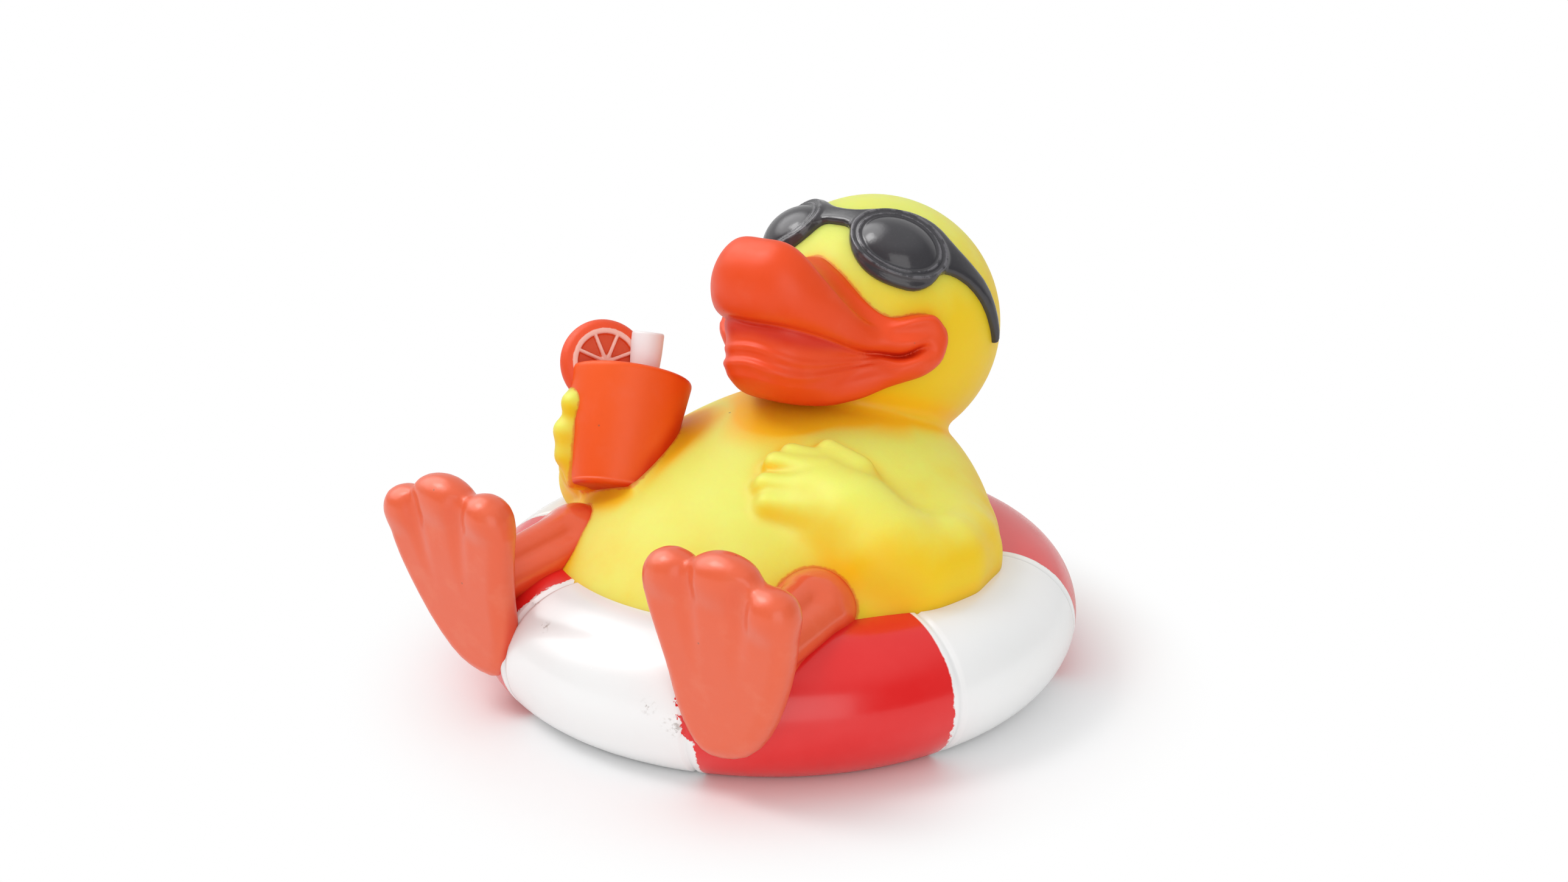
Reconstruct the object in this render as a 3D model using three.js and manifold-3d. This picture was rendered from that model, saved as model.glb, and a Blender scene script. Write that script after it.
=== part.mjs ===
// A bath duck that lounges in a swim ring with sunglasses on and a drink in its right hand.
// The duck, ring, cup and paintwork are one hollow vinyl moulding; a squeaker is pressed into its base.
// Millimetres, +Z up. The duck faces -Y and its left side is +X.
import * as THREE from "three";
import { mergeVertices } from "three/addons/utils/BufferGeometryUtils.js";
import Module from "manifold-3d";

// Swim ring: an oval tube on a circle, cut flat where it stands
const RING_RADIUS = 37.5;
const TUBE_HALF_WIDTH = 12.5;
const TUBE_HALF_HEIGHT = 11.4;
const TUBE_FLAT = 1.5;

// Torso: an egg that leans back inside the ring and grows with it
const TORSO_HALF_WIDTH = 1.123 * RING_RADIUS;
const TORSO_HALF_LENGTH = 1.515 * RING_RADIUS;
const TORSO_HALF_DEPTH = 0.836 * RING_RADIUS;
const TORSO_Y = -0.325 * RING_RADIUS;
const TORSO_SINK = 8.8; // its middle lies this far under the middle of the tube
const TORSO_LEAN = 36.4;

// Head: a ball over the upper end of the egg, with the face turned up
const HEAD_RADIUS = 22;
const HEAD_RISE = 0.745 * HEAD_RADIUS; // from the egg's end to the middle of the head
const HEAD_FORWARD = 0.214 * HEAD_RADIUS;
const HEAD_LEAN = 28;

// Bill, measured forward from the middle of the head
const BILL_LENGTH = HEAD_RADIUS + 17.5;
const CHIN_LENGTH = HEAD_RADIUS + 8.6;
const BILL_HALF_WIDTH = 11.4;
const LIP_HEIGHT = 6.9;
const CHIN_HEIGHT = 5.3;
const SMILE_YAW = 55; // where the mouth ends on the cheek
const SMILE_PITCH = -11;
const SMILE_ROLL = 2.7;

// Sunglasses, moulded proud of the head
const LENS_YAW = 34.5;
const LENS_PITCH = 28;
const LENS_HALF_WIDTH = 8.6;
const LENS_HALF_HEIGHT = 6.5;
const LENS_TURN = -13;
const LENS_BULGE = 1.4;
const FRAME_BAND = 1.9;
const FRAME_PROUD = 1.3;
const RIM_ROLL = 0.7;

// Arms
const ARM_HALF_WIDTH = 7.5;
const FINGER_RADIUS = 1.9;

// Cup, orange slice and straw; places in the cup are across, back and up from the middle of its foot
const CUP_ACROSS = -0.494; // where it stands on the belly, as shares of the egg
const CUP_ALONG = 0.251;
const CUP_SINK = 0.5;
const CUP_UP = [-0.11, 0.49, 0.87];
const CUP_HEIGHT = 17.8;
const CUP_RIM_RADIUS = 10.1;
const CUP_FOOT_RADIUS = 8;
const CUP_WALL = 1.2;
const DRINK_DROP = 1;
const SLICE_RADIUS = 7.8;
const SLICE_THICKNESS = 3.2;
const SLICE_PLACE = [-5, -3.6, CUP_HEIGHT + 0.9];
const SLICE_TURN = 46;
const STRAW_RADIUS = 2.6;
const STRAW_PLACE = [1.8, -1.6, 0];
const STRAW_REACH = 7.8;

// Legs and feet
const FOOT_SPREAD = 26.5; // from the middle of the duck to the middle of a foot
const FOOT_HEIGHT = 40.4;
const FOOT_HALF_WIDTH = 11.5;
const FOOT_THICKNESS = 5.4;
const FOOT_INSET = 2.2; // the sole's middle stands this far inside the ring's outline
const HEEL_Z = 7;
const TOE_RADIUS = 4.9;
const LEG_RADIUS = 7.4;

// Wall of the moulding, and the squeaker pressed into its base
const WALL = 2.5;
const BASE_RECESS = 2;
const SQUEAKER_RADIUS = 5;
const SQUEAKER_LENGTH = 7;
const SQUEAKER_FLANGE = 1.4;
const SQUEAKER_BORE = 0.9;
const FIT_GAP = 0.3;

const wasm = await Module();
wasm.setup();

const degrees = THREE.MathUtils.degToRad;
const vector = (x, y, z) => new THREE.Vector3(x, y, z);
const TUBE_Z = TUBE_HALF_HEIGHT - TUBE_FLAT;
const CROWN_Z = TUBE_Z + TUBE_HALF_HEIGHT;
const FOOT_Y = FOOT_INSET - RING_RADIUS - TUBE_HALF_WIDTH;

// A closed geometry as a solid that can be joined and cut.
function solid(geometry, matrix = new THREE.Matrix4()) {
  const bare = geometry.clone().applyMatrix4(matrix);
  bare.deleteAttribute("normal");
  bare.deleteAttribute("uv");
  const merged = mergeVertices(bare, 1e-4);
  const mesh = new wasm.Mesh({
    numProp: 3,
    vertProperties: new Float32Array(merged.attributes.position.array),
    triVerts: new Uint32Array(merged.index.array),
  });
  return new wasm.Manifold(mesh);
}

function join(solids) {
  return solids.reduce((all, next) => all.add(next));
}

// The outer skin of a solid, so that a pocket shut in between two limbs is filled.
function filled(made) {
  return made.decompose().reduce((kept, next) => (next.volume() > kept.volume() ? next : kept));
}

function geometryOf(made) {
  const { vertProperties, triVerts } = made.getMesh();
  const geometry = new THREE.BufferGeometry();
  geometry.setAttribute("position", new THREE.BufferAttribute(vertProperties, 3));
  geometry.setIndex(new THREE.BufferAttribute(triVerts, 1));
  geometry.computeVertexNormals();
  return geometry;
}

// A skin over rings of points, drawn together to a point at each end.
function skin(rings, first, last) {
  const around = rings[0].length;
  const points = [first, ...rings.flat(), last];
  const faces = [];
  const at = (ring, k) => 1 + ring * around + (k % around);
  for (let k = 0; k < around; k++) {
    faces.push(0, at(0, k + 1), at(0, k));
    for (let ring = 1; ring < rings.length; ring++) {
      faces.push(at(ring - 1, k), at(ring - 1, k + 1), at(ring, k));
      faces.push(at(ring - 1, k + 1), at(ring, k + 1), at(ring, k));
    }
    faces.push(points.length - 1, at(rings.length - 1, k), at(rings.length - 1, k + 1));
  }
  const geometry = new THREE.BufferGeometry().setFromPoints(points);
  geometry.setIndex(faces);
  return geometry;
}

// A limb with domed ends, through stations of [x, y, z, half width, half depth].
// Depth is measured along the given direction, and width across it and the path.
function limb(stations, depthWay, { around = 16, along = 12, dome = 0.2, startDome = dome } = {}) {
  const path = new THREE.CatmullRomCurve3(stations.map((s) => vector(s[0], s[1], s[2])));
  const sizes = new THREE.CatmullRomCurve3(stations.map((s) => vector(s[3], s[4], 0)));
  const swell = (t) => {
    const near = Math.max(0, 1 - t / startDome);
    const far = Math.max(0, 1 - (1 - t) / dome);
    return Math.sqrt(Math.max(0, 1 - near * near)) * Math.sqrt(Math.max(0, 1 - far * far));
  };
  const rings = [];
  for (let i = 1; i < along; i++) {
    const t = (1 - Math.cos((Math.PI * i) / along)) / 2;
    const middle = path.getPoint(t);
    const size = sizes.getPoint(t).multiplyScalar(swell(t));
    const tangent = path.getTangent(t);
    const depth = depthWay.clone().addScaledVector(tangent, -depthWay.dot(tangent)).normalize();
    const width = depth.clone().cross(tangent);
    const ring = [];
    for (let k = 0; k < around; k++) {
      const turn = (2 * Math.PI * k) / around;
      const point = middle.clone().addScaledVector(width, size.x * Math.cos(turn));
      ring.push(point.addScaledVector(depth, size.y * Math.sin(turn)));
    }
    rings.push(ring);
  }
  return skin(rings, path.getPoint(0), path.getPoint(1));
}

// A round piece turned about Z from a profile of [radius, height] that starts and ends on the axis.
function turned(profile, segments) {
  const points = profile.map(([radius, height]) => new THREE.Vector2(radius, height));
  return new THREE.LatheGeometry(points, segments).rotateX(Math.PI / 2);
}

// The swim ring's tube, drawn in by an inset for the hollow inside.
function ringTube(inset, segments, steps) {
  const width = TUBE_HALF_WIDTH - inset;
  const height = TUBE_HALF_HEIGHT - inset;
  const flat = Math.asin((TUBE_Z - inset) / height);
  const profile = [];
  for (let i = 0; i <= steps; i++) {
    const turn = -flat + ((Math.PI + 2 * flat) * i) / steps;
    profile.push([RING_RADIUS + width * Math.cos(turn), TUBE_Z + height * Math.sin(turn)]);
  }
  profile.push(profile[0]);
  return solid(turned(profile, segments));
}

// The egg's own frame: X across, Y up its long axis and Z out of the belly.
function torsoFrame() {
  const lean = new THREE.Quaternion().setFromEuler(new THREE.Euler(degrees(TORSO_LEAN), 0, 0));
  return new THREE.Matrix4().compose(vector(0, TORSO_Y, TUBE_Z - TORSO_SINK), lean, vector(1, 1, 1));
}

// A place over the belly: across and along are shares of the egg's half width and half length.
function onBelly(across, along, lift) {
  const sizes = vector(TORSO_HALF_WIDTH, TORSO_HALF_LENGTH, TORSO_HALF_DEPTH);
  const share = vector(across, along, Math.sqrt(1 - across * across - along * along));
  const out = share.clone().divide(sizes).setLength(lift);
  return share.multiply(sizes).add(out).applyMatrix4(torsoFrame()).toArray();
}

// The egg above the ring and the plug that fills the ring's hole below it.
function torso(inset, segments) {
  const egg = new THREE.SphereGeometry(1, segments, Math.round(segments * 0.6));
  egg.scale(TORSO_HALF_WIDTH - inset, TORSO_HALF_LENGTH - inset, TORSO_HALF_DEPTH - inset);
  const top = TORSO_HALF_LENGTH;
  const floor = BASE_RECESS + inset;
  const hold = turned([[0, floor], [RING_RADIUS, floor], [RING_RADIUS, top], [0, top]], segments);
  const shoulder = CROWN_Z - inset - TUBE_HALF_HEIGHT / 4;
  const plugRadius = RING_RADIUS - TUBE_HALF_WIDTH / 2;
  const plug = turned([[0, floor], [plugRadius, floor], [plugRadius, shoulder], [0, shoulder]], 32);
  const body = solid(egg, torsoFrame()).intersect(solid(hold));
  return body.add(solid(plug));
}

// The head's own frame: its face looks along -Y before the head leans back.
function headFrame() {
  const lean = new THREE.Quaternion().setFromEuler(new THREE.Euler(degrees(-HEAD_LEAN), 0, 0));
  const neck = vector(0, TORSO_HALF_LENGTH, 0).applyMatrix4(torsoFrame());
  const place = neck.add(vector(0, -HEAD_FORWARD, HEAD_RISE));
  return new THREE.Matrix4().compose(place, lean, vector(1, 1, 1));
}

function head(inset, segments) {
  const ball = new THREE.SphereGeometry(HEAD_RADIUS - inset, segments, Math.round(segments * 0.6));
  return solid(ball, headFrame());
}

// A point on or over the head, by yaw and pitch in degrees from the way the face looks.
function onHead(yaw, pitch, radius) {
  const flat = Math.cos(degrees(pitch)) * radius;
  const x = flat * Math.sin(degrees(yaw));
  return [x, -flat * Math.cos(degrees(yaw)), radius * Math.sin(degrees(pitch))];
}

// Upper and lower bill, and the roll round the corner of the smile on each cheek.
function bill() {
  const width = BILL_HALF_WIDTH;
  const upper = [
    [0, -0.2 * BILL_LENGTH, -1, width * 1.15, LIP_HEIGHT * 0.9],
    [0, -0.36 * BILL_LENGTH, -1.5, width * 1.34, LIP_HEIGHT * 0.85],
    [0, -0.52 * BILL_LENGTH, -1.9, width * 1.14, LIP_HEIGHT],
    [0, -0.68 * BILL_LENGTH, -2.3, width * 1.02, LIP_HEIGHT],
    [0, -0.84 * BILL_LENGTH, -2.8, width, LIP_HEIGHT],
    [0, -BILL_LENGTH, -3.4, width * 0.9, LIP_HEIGHT],
  ];
  const lower = [
    [0, -0.24 * CHIN_LENGTH, -9, width * 1.05, CHIN_HEIGHT],
    [0, -0.42 * CHIN_LENGTH, -10.8, width * 1.3, CHIN_HEIGHT],
    [0, -0.6 * CHIN_LENGTH, -13, width * 1.12, CHIN_HEIGHT],
    [0, -0.76 * CHIN_LENGTH, -14.4, width, CHIN_HEIGHT],
    [0, -0.9 * CHIN_LENGTH, -14.4, width * 0.92, CHIN_HEIGHT],
    [0, -CHIN_LENGTH, -13.8, width * 0.84, CHIN_HEIGHT],
  ];
  const rise = vector(0, 0, 1);
  const frame = headFrame();
  const made = [
    solid(limb(upper, rise, { around: 22, along: 12, dome: 0.26 }), frame),
    solid(limb(lower, rise, { around: 22, along: 11, dome: 0.24 }), frame),
  ];
  for (const side of [-1, 1]) {
    const roll = [
      [-21, 5, 1.6],
      [-8, 7, 0.8],
      [0, 5, 0],
      [6, 0, 0],
      [0, -6, 0],
      [-8, -9, 0.8],
      [-20, -10, 1.6],
    ].map(([yaw, pitch, proud]) => [
      ...onHead(side * (SMILE_YAW + yaw), SMILE_PITCH + pitch, HEAD_RADIUS + proud),
      SMILE_ROLL,
      SMILE_ROLL,
    ]);
    made.push(solid(limb(roll, vector(side, 0.4, 0), { around: 8, along: 11 }), frame));
  }
  return join(made);
}

// The frame of one lens: its middle on the head, its X across the lens and its Z straight out.
function lensFrame(side) {
  const turn = new THREE.Matrix4().makeRotationZ(degrees(side * LENS_YAW));
  const tip = new THREE.Matrix4().makeRotationX(degrees(90 - LENS_PITCH));
  const roll = new THREE.Matrix4().makeRotationZ(degrees(side * LENS_TURN));
  return headFrame().multiply(turn).multiply(tip).multiply(roll);
}

// An oval dome that follows the head: edge height and middle height are measured from the head's middle.
function ovalDome(halfWidth, halfHeight, edgeRadius, middleRadius, around = 20, steps = 2) {
  const floor = edgeRadius * 0.8;
  const rings = [];
  const ringAt = (share, radius) => {
    const ring = [];
    for (let k = 0; k < around; k++) {
      const turn = (-2 * Math.PI * k) / around;
      const x = halfWidth * share * Math.cos(turn);
      const y = halfHeight * share * Math.sin(turn);
      ring.push(vector(x, y, HEAD_RADIUS).setLength(radius));
    }
    return ring;
  };
  for (let i = 1; i <= steps; i++) {
    const share = Math.sin((Math.PI / 2) * (i / steps));
    const bulge = (middleRadius - edgeRadius) * (1 - share * share);
    rings.push(ringAt(share, edgeRadius + bulge));
  }
  rings.push(ringAt(1, floor));
  return skin(rings, vector(0, 0, middleRadius), vector(0, 0, floor * 0.9));
}

// A round roll that follows an oval on the head and meets itself: a torus bent to fit.
function ovalRoll(halfWidth, halfHeight, radius, roll, around = 20, sides = 6) {
  const torus = new THREE.TorusGeometry(1, 0.5, sides, around);
  const place = torus.attributes.position;
  for (let i = 0; i < place.count; i++) {
    const at = vector().fromBufferAttribute(place, i);
    const out = vector(at.x, at.y, 0).normalize();
    const off = vector(at.x, at.y, 0).addScaledVector(out, -1).dot(out) / 0.5;
    const middle = vector(halfWidth * out.x, halfHeight * out.y, HEAD_RADIUS).setLength(radius);
    const rise = middle.clone().normalize();
    middle.addScaledVector(out, off * roll).addScaledVector(rise, (at.z / 0.5) * roll);
    place.setXYZ(i, middle.x, middle.y, middle.z);
  }
  return torus;
}

function sunglasses() {
  const proud = HEAD_RADIUS + FRAME_PROUD;
  const made = [];
  for (const side of [-1, 1]) {
    const frame = lensFrame(side);
    const [width, height] = [LENS_HALF_WIDTH, LENS_HALF_HEIGHT];
    const band = ovalDome(width + FRAME_BAND, height + FRAME_BAND, proud, proud);
    const glass = ovalDome(width - RIM_ROLL, height - RIM_ROLL, proud - 0.4, proud + LENS_BULGE);
    const rim = ovalRoll(width, height, proud, RIM_ROLL);
    made.push(solid(band, frame), solid(glass, frame), solid(rim, frame));
    const temple = [
      [50, 32, 3.4],
      [62, 29, 2.8],
      [75, 25, 2.3],
      [86, 18.5, 2.2],
      [94, 9.5, 1.8],
      [97, 2, 1.2],
    ].map(([yaw, pitch, half]) => [...onHead(side * yaw, pitch, HEAD_RADIUS - 0.2), half, FRAME_PROUD]);
    made.push(solid(limb(temple, vector(side, 0, 0.1), { around: 8, along: 10 }), headFrame()));
  }
  const bridge = [-16, -8, 0, 8, 16].map((yaw) => [
    ...onHead(yaw, LENS_PITCH + 8.5, HEAD_RADIUS),
    FRAME_BAND,
    FRAME_PROUD + 0.4,
  ]);
  made.push(solid(limb(bridge, vector(0, -0.8, 0.6), { around: 8, along: 8 }), headFrame()));
  return join(made);
}

// An arm through stations of [across, along, lift, half width, half depth] over the belly.
function arm(side, hand) {
  const width = ARM_HALF_WIDTH;
  const stations = [
    [0.624, 0.765, -10, width * 0.8, 5],
    [0.741, 0.665, -2.7, width * 0.9, 5.5],
    [0.795, 0.536, -0.2, width, 5],
    [0.741, 0.412, 0.9, width, 4.6],
    ...hand,
  ].map(([across, along, lift, ...size]) => [...onBelly(side * across, along, lift), ...size]);
  return solid(limb(stations, vector(side * 0.75, -0.4, 0.6), { around: 12, along: 12, dome: 0.1 }));
}

// The left hand rests on the belly with its fingers side by side.
function leftHand() {
  const width = ARM_HALF_WIDTH;
  const made = [
    arm(1, [
      [0.615, 0.383, 1, width * 0.88, 4],
      [0.458, 0.407, 0.9, width * 0.68, 3.8],
      [0.336, 0.405, 0.9, width * 0.62, 3.2],
      [0.234, 0.387, 0.8, width * 0.56, 2.4],
    ]),
  ];
  const fingers = [
    [[0.348, 0.463], [0.259, 0.454], [0.167, 0.414]],
    [[0.324, 0.407], [0.244, 0.392], [0.158, 0.36]],
    [[0.347, 0.345], [0.277, 0.325], [0.214, 0.279]],
  ];
  const lifts = [1.3, 1.5, 1.3];
  for (const places of fingers) {
    const stations = places.map(([across, along], i) => [
      ...onBelly(across, along, lifts[i]),
      FINGER_RADIUS,
      FINGER_RADIUS,
    ]);
    made.push(solid(limb(stations, vector(0.4, -0.4, 0.8), { around: 8, along: 6 })));
  }
  return join(made);
}

// The cup's own frame: its foot at the origin and its rim up along Z.
function cupFrame() {
  const up = vector(...CUP_UP).normalize();
  const turn = new THREE.Quaternion().setFromUnitVectors(vector(0, 0, 1), up);
  const place = vector(...onBelly(CUP_ACROSS, CUP_ALONG, -CUP_SINK));
  return new THREE.Matrix4().compose(place, turn, vector(1, 1, 1));
}

function drink() {
  const rim = CUP_RIM_RADIUS;
  const cup = turned(
    [
      [0, 0],
      [CUP_FOOT_RADIUS, 0],
      [rim, CUP_HEIGHT],
      [rim - CUP_WALL, CUP_HEIGHT],
      [rim - CUP_WALL, CUP_HEIGHT - DRINK_DROP],
      [0, CUP_HEIGHT - DRINK_DROP],
    ],
    28,
  );
  const tip = CUP_HEIGHT + STRAW_REACH;
  const straw = turned([[0, 0], [STRAW_RADIUS, 0], [STRAW_RADIUS, tip], [0, tip]], 14);
  const slice = new THREE.CylinderGeometry(SLICE_RADIUS, SLICE_RADIUS, SLICE_THICKNESS, 22);
  slice.rotateZ(degrees(SLICE_TURN)).translate(...SLICE_PLACE);
  straw.translate(...STRAW_PLACE);
  const frame = cupFrame();
  return join([solid(cup, frame), solid(straw, frame), solid(slice, frame)]);
}

// The right hand holds the cup from behind, with its fingers round the far side.
function rightHand() {
  const width = ARM_HALF_WIDTH;
  const made = [
    arm(-1, [
      [0.665, 0.34, 3.5, width * 0.86, 5.2],
      [0.605, 0.289, 6.2, width * 0.74, 4.6],
      [0.558, 0.267, 8.9, width * 0.6, 4],
    ]),
  ];
  const frame = cupFrame();
  for (const share of [0.25, 0.48, 0.72]) {
    const wall = CUP_FOOT_RADIUS + (CUP_RIM_RADIUS - CUP_FOOT_RADIUS) * share;
    const stations = [60, 100, 140, 180, 215].map((turn) => [
      (wall + FINGER_RADIUS) * Math.cos(degrees(turn)),
      (wall + FINGER_RADIUS) * Math.sin(degrees(turn)),
      CUP_HEIGHT * share,
      FINGER_RADIUS * 1.1,
      FINGER_RADIUS,
    ]);
    made.push(solid(limb(stations, vector(0, 0, 1), { around: 8, along: 8 }), frame));
  }
  return join(made);
}

// One leg over the ring and its webbed foot, sole to the front. Three toes stand out of the web.
function legAndFoot(side) {
  const middle = side * FOOT_SPREAD;
  const leg = [
    [0.89 * middle, -0.43 * RING_RADIUS, CROWN_Z - 0.7, LEG_RADIUS, LEG_RADIUS],
    [0.92 * middle, -0.67 * RING_RADIUS, CROWN_Z + 0.9, LEG_RADIUS, LEG_RADIUS],
    [0.95 * middle, -0.91 * RING_RADIUS, CROWN_Z + 0.1, LEG_RADIUS * 0.86, LEG_RADIUS * 0.86],
    [0.98 * middle, FOOT_Y + FOOT_THICKNESS / 2, CROWN_Z - 0.7, LEG_RADIUS * 0.8, LEG_RADIUS * 0.8],
  ];
  const half = FOOT_THICKNESS / 2;
  const width = FOOT_HALF_WIDTH;
  const upTo = (share) => HEEL_Z + share * (FOOT_HEIGHT - HEEL_Z);
  const web = [
    [middle - side * 1.7, FOOT_Y + 3.4, HEEL_Z, width * 0.52, half],
    [middle - side * 1.3, FOOT_Y + 2.8, upTo(0.18), width * 0.68, half],
    [middle - side * 0.6, FOOT_Y + 1.4, upTo(0.42), width * 0.92, half],
    [middle, FOOT_Y + 0.4, upTo(0.66), width * 1.04, half],
    [middle, FOOT_Y, upTo(0.9), width, half],
  ];
  const forward = vector(0, -1, 0);
  const made = [
    solid(limb(leg, vector(0, 0.2, 1), { around: 12, along: 8 })),
    solid(limb(web, forward, { around: 16, along: 10, dome: 0.22 })),
  ];
  const toes = [
    [-0.72, FOOT_HEIGHT - 1.2],
    [0.03, FOOT_HEIGHT],
    [0.76, FOOT_HEIGHT - 3.6],
  ];
  for (const [share, top] of toes) {
    const across = side * share * width;
    const stations = [
      [middle + across * 0.5, FOOT_Y + 2, upTo(0.3), TOE_RADIUS * 0.6, half],
      [middle + across * 0.8, FOOT_Y + 0.6, upTo(0.6), TOE_RADIUS * 0.9, half * 1.1],
      [middle + across, FOOT_Y - 0.4, top - TOE_RADIUS, TOE_RADIUS, half * 1.25],
      [middle + across, FOOT_Y - 0.6, top, TOE_RADIUS * 0.95, half * 1.2],
    ];
    made.push(solid(limb(stations, forward, { around: 10, along: 8, dome: 0.22 })));
  }
  return join(made);
}

// The hollow inside the ring, torso and head, which share one air space.
function hollow() {
  const outside = SQUEAKER_RADIUS + WALL;
  const collar = turned([[0, 0], [outside, 0], [outside, SQUEAKER_LENGTH], [0, SQUEAKER_LENGTH]], 24);
  return join([ringTube(WALL, 28, 8), torso(WALL, 18), head(WALL, 16)]).subtract(solid(collar));
}

function squeakerHole() {
  const radius = SQUEAKER_RADIUS + FIT_GAP;
  const top = SQUEAKER_LENGTH + WALL;
  return solid(turned([[0, 0], [radius, 0], [radius, top], [0, top]], 24));
}

function duckBody() {
  const parts = [
    ringTube(0, 56, 14),
    torso(0, 36),
    head(0, 30),
    bill(),
    sunglasses(),
    leftHand(),
    rightHand(),
    drink(),
    legAndFoot(-1),
    legAndFoot(1),
  ];
  return filled(join(parts)).subtract(hollow()).subtract(squeakerHole());
}

// A whistle plug with a flange under the base and a fine bore for the air.
function squeaker() {
  const under = BASE_RECESS - FIT_GAP;
  return solid(
    turned(
      [
        [SQUEAKER_BORE, under - 0.8],
        [SQUEAKER_RADIUS + SQUEAKER_FLANGE, under - 0.8],
        [SQUEAKER_RADIUS + SQUEAKER_FLANGE, under],
        [SQUEAKER_RADIUS, under],
        [SQUEAKER_RADIUS, SQUEAKER_LENGTH],
        [SQUEAKER_BORE, SQUEAKER_LENGTH],
        [SQUEAKER_BORE, under - 0.8],
      ],
      24,
    ),
  );
}

const finishes = {
  vinyl: new THREE.MeshStandardMaterial({ color: "#ece23a", roughness: 0.55, metalness: 0 }),
  plug: new THREE.MeshStandardMaterial({ color: "#f2f0ea", roughness: 0.45, metalness: 0 }),
};

const group = new THREE.Group();
const pieces = { duck_body: [duckBody(), finishes.vinyl], squeaker: [squeaker(), finishes.plug] };
for (const [name, [made, finish]] of Object.entries(pieces)) {
  const mesh = new THREE.Mesh(geometryOf(made), finish);
  mesh.name = name;
  group.add(mesh);
}

// The origin stands under the middle of the whole object.
const box = new THREE.Box3().setFromObject(group);
for (const mesh of group.children) {
  mesh.position.x = -(box.min.x + box.max.x) / 2;
  mesh.position.y = -(box.min.y + box.max.y) / 2;
}

export default group;
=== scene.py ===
"""Looks of a bath duck that lounges in a swim ring, with sunglasses on and a drink in its hand.

The duck is one hollow vinyl moulding. Each paint zone is a closed piece of its own here, so that every
finish keeps its full detail. Shapes are worked out in millimetres with the middle of the ring at the
origin, +Z up and the duck's feet towards -Y, and are placed in metres in the part's frame.
"""

from __future__ import annotations

import logging
import math
from dataclasses import dataclass
from enum import Enum
from typing import Any, Callable, Iterable

import bpy
import numpy as np
import openvdb
from mathutils import Matrix, Vector

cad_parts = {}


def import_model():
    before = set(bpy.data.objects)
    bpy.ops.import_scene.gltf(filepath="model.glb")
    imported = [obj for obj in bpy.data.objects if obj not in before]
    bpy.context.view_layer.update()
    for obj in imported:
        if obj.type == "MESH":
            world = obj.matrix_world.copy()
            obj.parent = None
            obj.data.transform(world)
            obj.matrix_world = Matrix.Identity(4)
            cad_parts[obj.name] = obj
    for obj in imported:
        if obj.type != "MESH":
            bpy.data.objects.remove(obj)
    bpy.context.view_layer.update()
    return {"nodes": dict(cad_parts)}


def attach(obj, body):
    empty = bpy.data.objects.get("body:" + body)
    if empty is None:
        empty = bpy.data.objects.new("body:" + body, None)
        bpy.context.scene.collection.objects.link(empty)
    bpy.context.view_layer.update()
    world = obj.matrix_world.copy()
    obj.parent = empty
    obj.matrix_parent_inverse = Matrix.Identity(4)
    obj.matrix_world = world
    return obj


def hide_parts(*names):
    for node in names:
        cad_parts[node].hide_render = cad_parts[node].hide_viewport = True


LOG = logging.getLogger("bath_duck")
MILLIMETRE = 0.001
FRAME_SHIFT = np.array([0.0, 0.321, 0.0])
FAR = 9.0
BATCH = 200_000
STRIPES = 4

Array = np.ndarray
Field = Callable[[Array], Array]
Place = tuple[float, float, float]
Station = tuple[float, float, float, float]
Box = tuple[Place, Place]


# Distance fields: how far each point lies outside a shape, in millimetres.


def smooth_union(first: Array, second: Array, blend: float) -> Array:
    """Join two distance arrays with a fillet.

    Args:
        first: distances to one shape.
        second: distances to the other shape.
        blend: reach of the fillet.

    Returns:
        Distances to the joined shape.
    """
    share = np.clip(0.5 + 0.5 * (second - first) / blend, 0, 1)
    return second + (first - second) * share - blend * share * (1 - share)


def smooth_common(first: Array, second: Array, blend: float) -> Array:
    """Distances to what two shapes share, with a rounded edge of that reach."""
    return -smooth_union(-first, -second, blend)


def smooth_cut(body: Array, tool: Array, blend: float) -> Array:
    """Distances to a body with a tool cut out of it, with a rounded edge of that reach."""
    return smooth_common(body, -tool, blend)


def oval_distance(offset: Array, radii: Array) -> Array:
    """First-order distance to an oval.

    Args:
        offset: points from the oval's middle, along its own axes.
        radii: half sizes along those axes, one set for all points or one set each.

    Returns:
        Distances, negative inside.
    """
    scaled = np.linalg.norm(offset / radii, axis=-1)
    slope = np.linalg.norm(offset / radii**2, axis=-1)
    return scaled * (scaled - 1) / np.maximum(slope, 1e-6)


def cone_distance(points: Array, start: Array, end: Array, first: float, last: float) -> Array:
    """Distance to a round-ended rod whose radius changes along it.

    Args:
        points: points to measure from.
        start: middle of the first end.
        end: middle of the last end.
        first: radius at the start.
        last: radius at the end.

    Returns:
        Distances, negative inside.
    """
    along = end - start
    share = np.clip((points - start) @ along / (along @ along), 0, 1)
    nearest = start + share[:, None] * along
    return np.linalg.norm(points - nearest, axis=-1) - (first + share * (last - first))


def rods_distance(points: Array, rods: Iterable[tuple[Station, Station]], blend: float) -> Array:
    """Distance to round-ended rods that are joined with fillets.

    Args:
        points: points to measure from.
        rods: the first and the last end of each rod, as x, y, z and radius.
        blend: reach of the fillets between the rods.

    Returns:
        Distances, negative inside.
    """
    made = None
    for one, two in rods:
        rod = cone_distance(points, np.array(one[:3]), np.array(two[:3]), one[3], two[3])
        made = rod if made is None else smooth_union(made, rod, blend)
    return made


def limb_distance(points: Array, stations: list[Station], blend: float) -> Array:
    """Distance to a limb, whose rods run from each station to the next."""
    return rods_distance(points, zip(stations, stations[1:]), blend)


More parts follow.
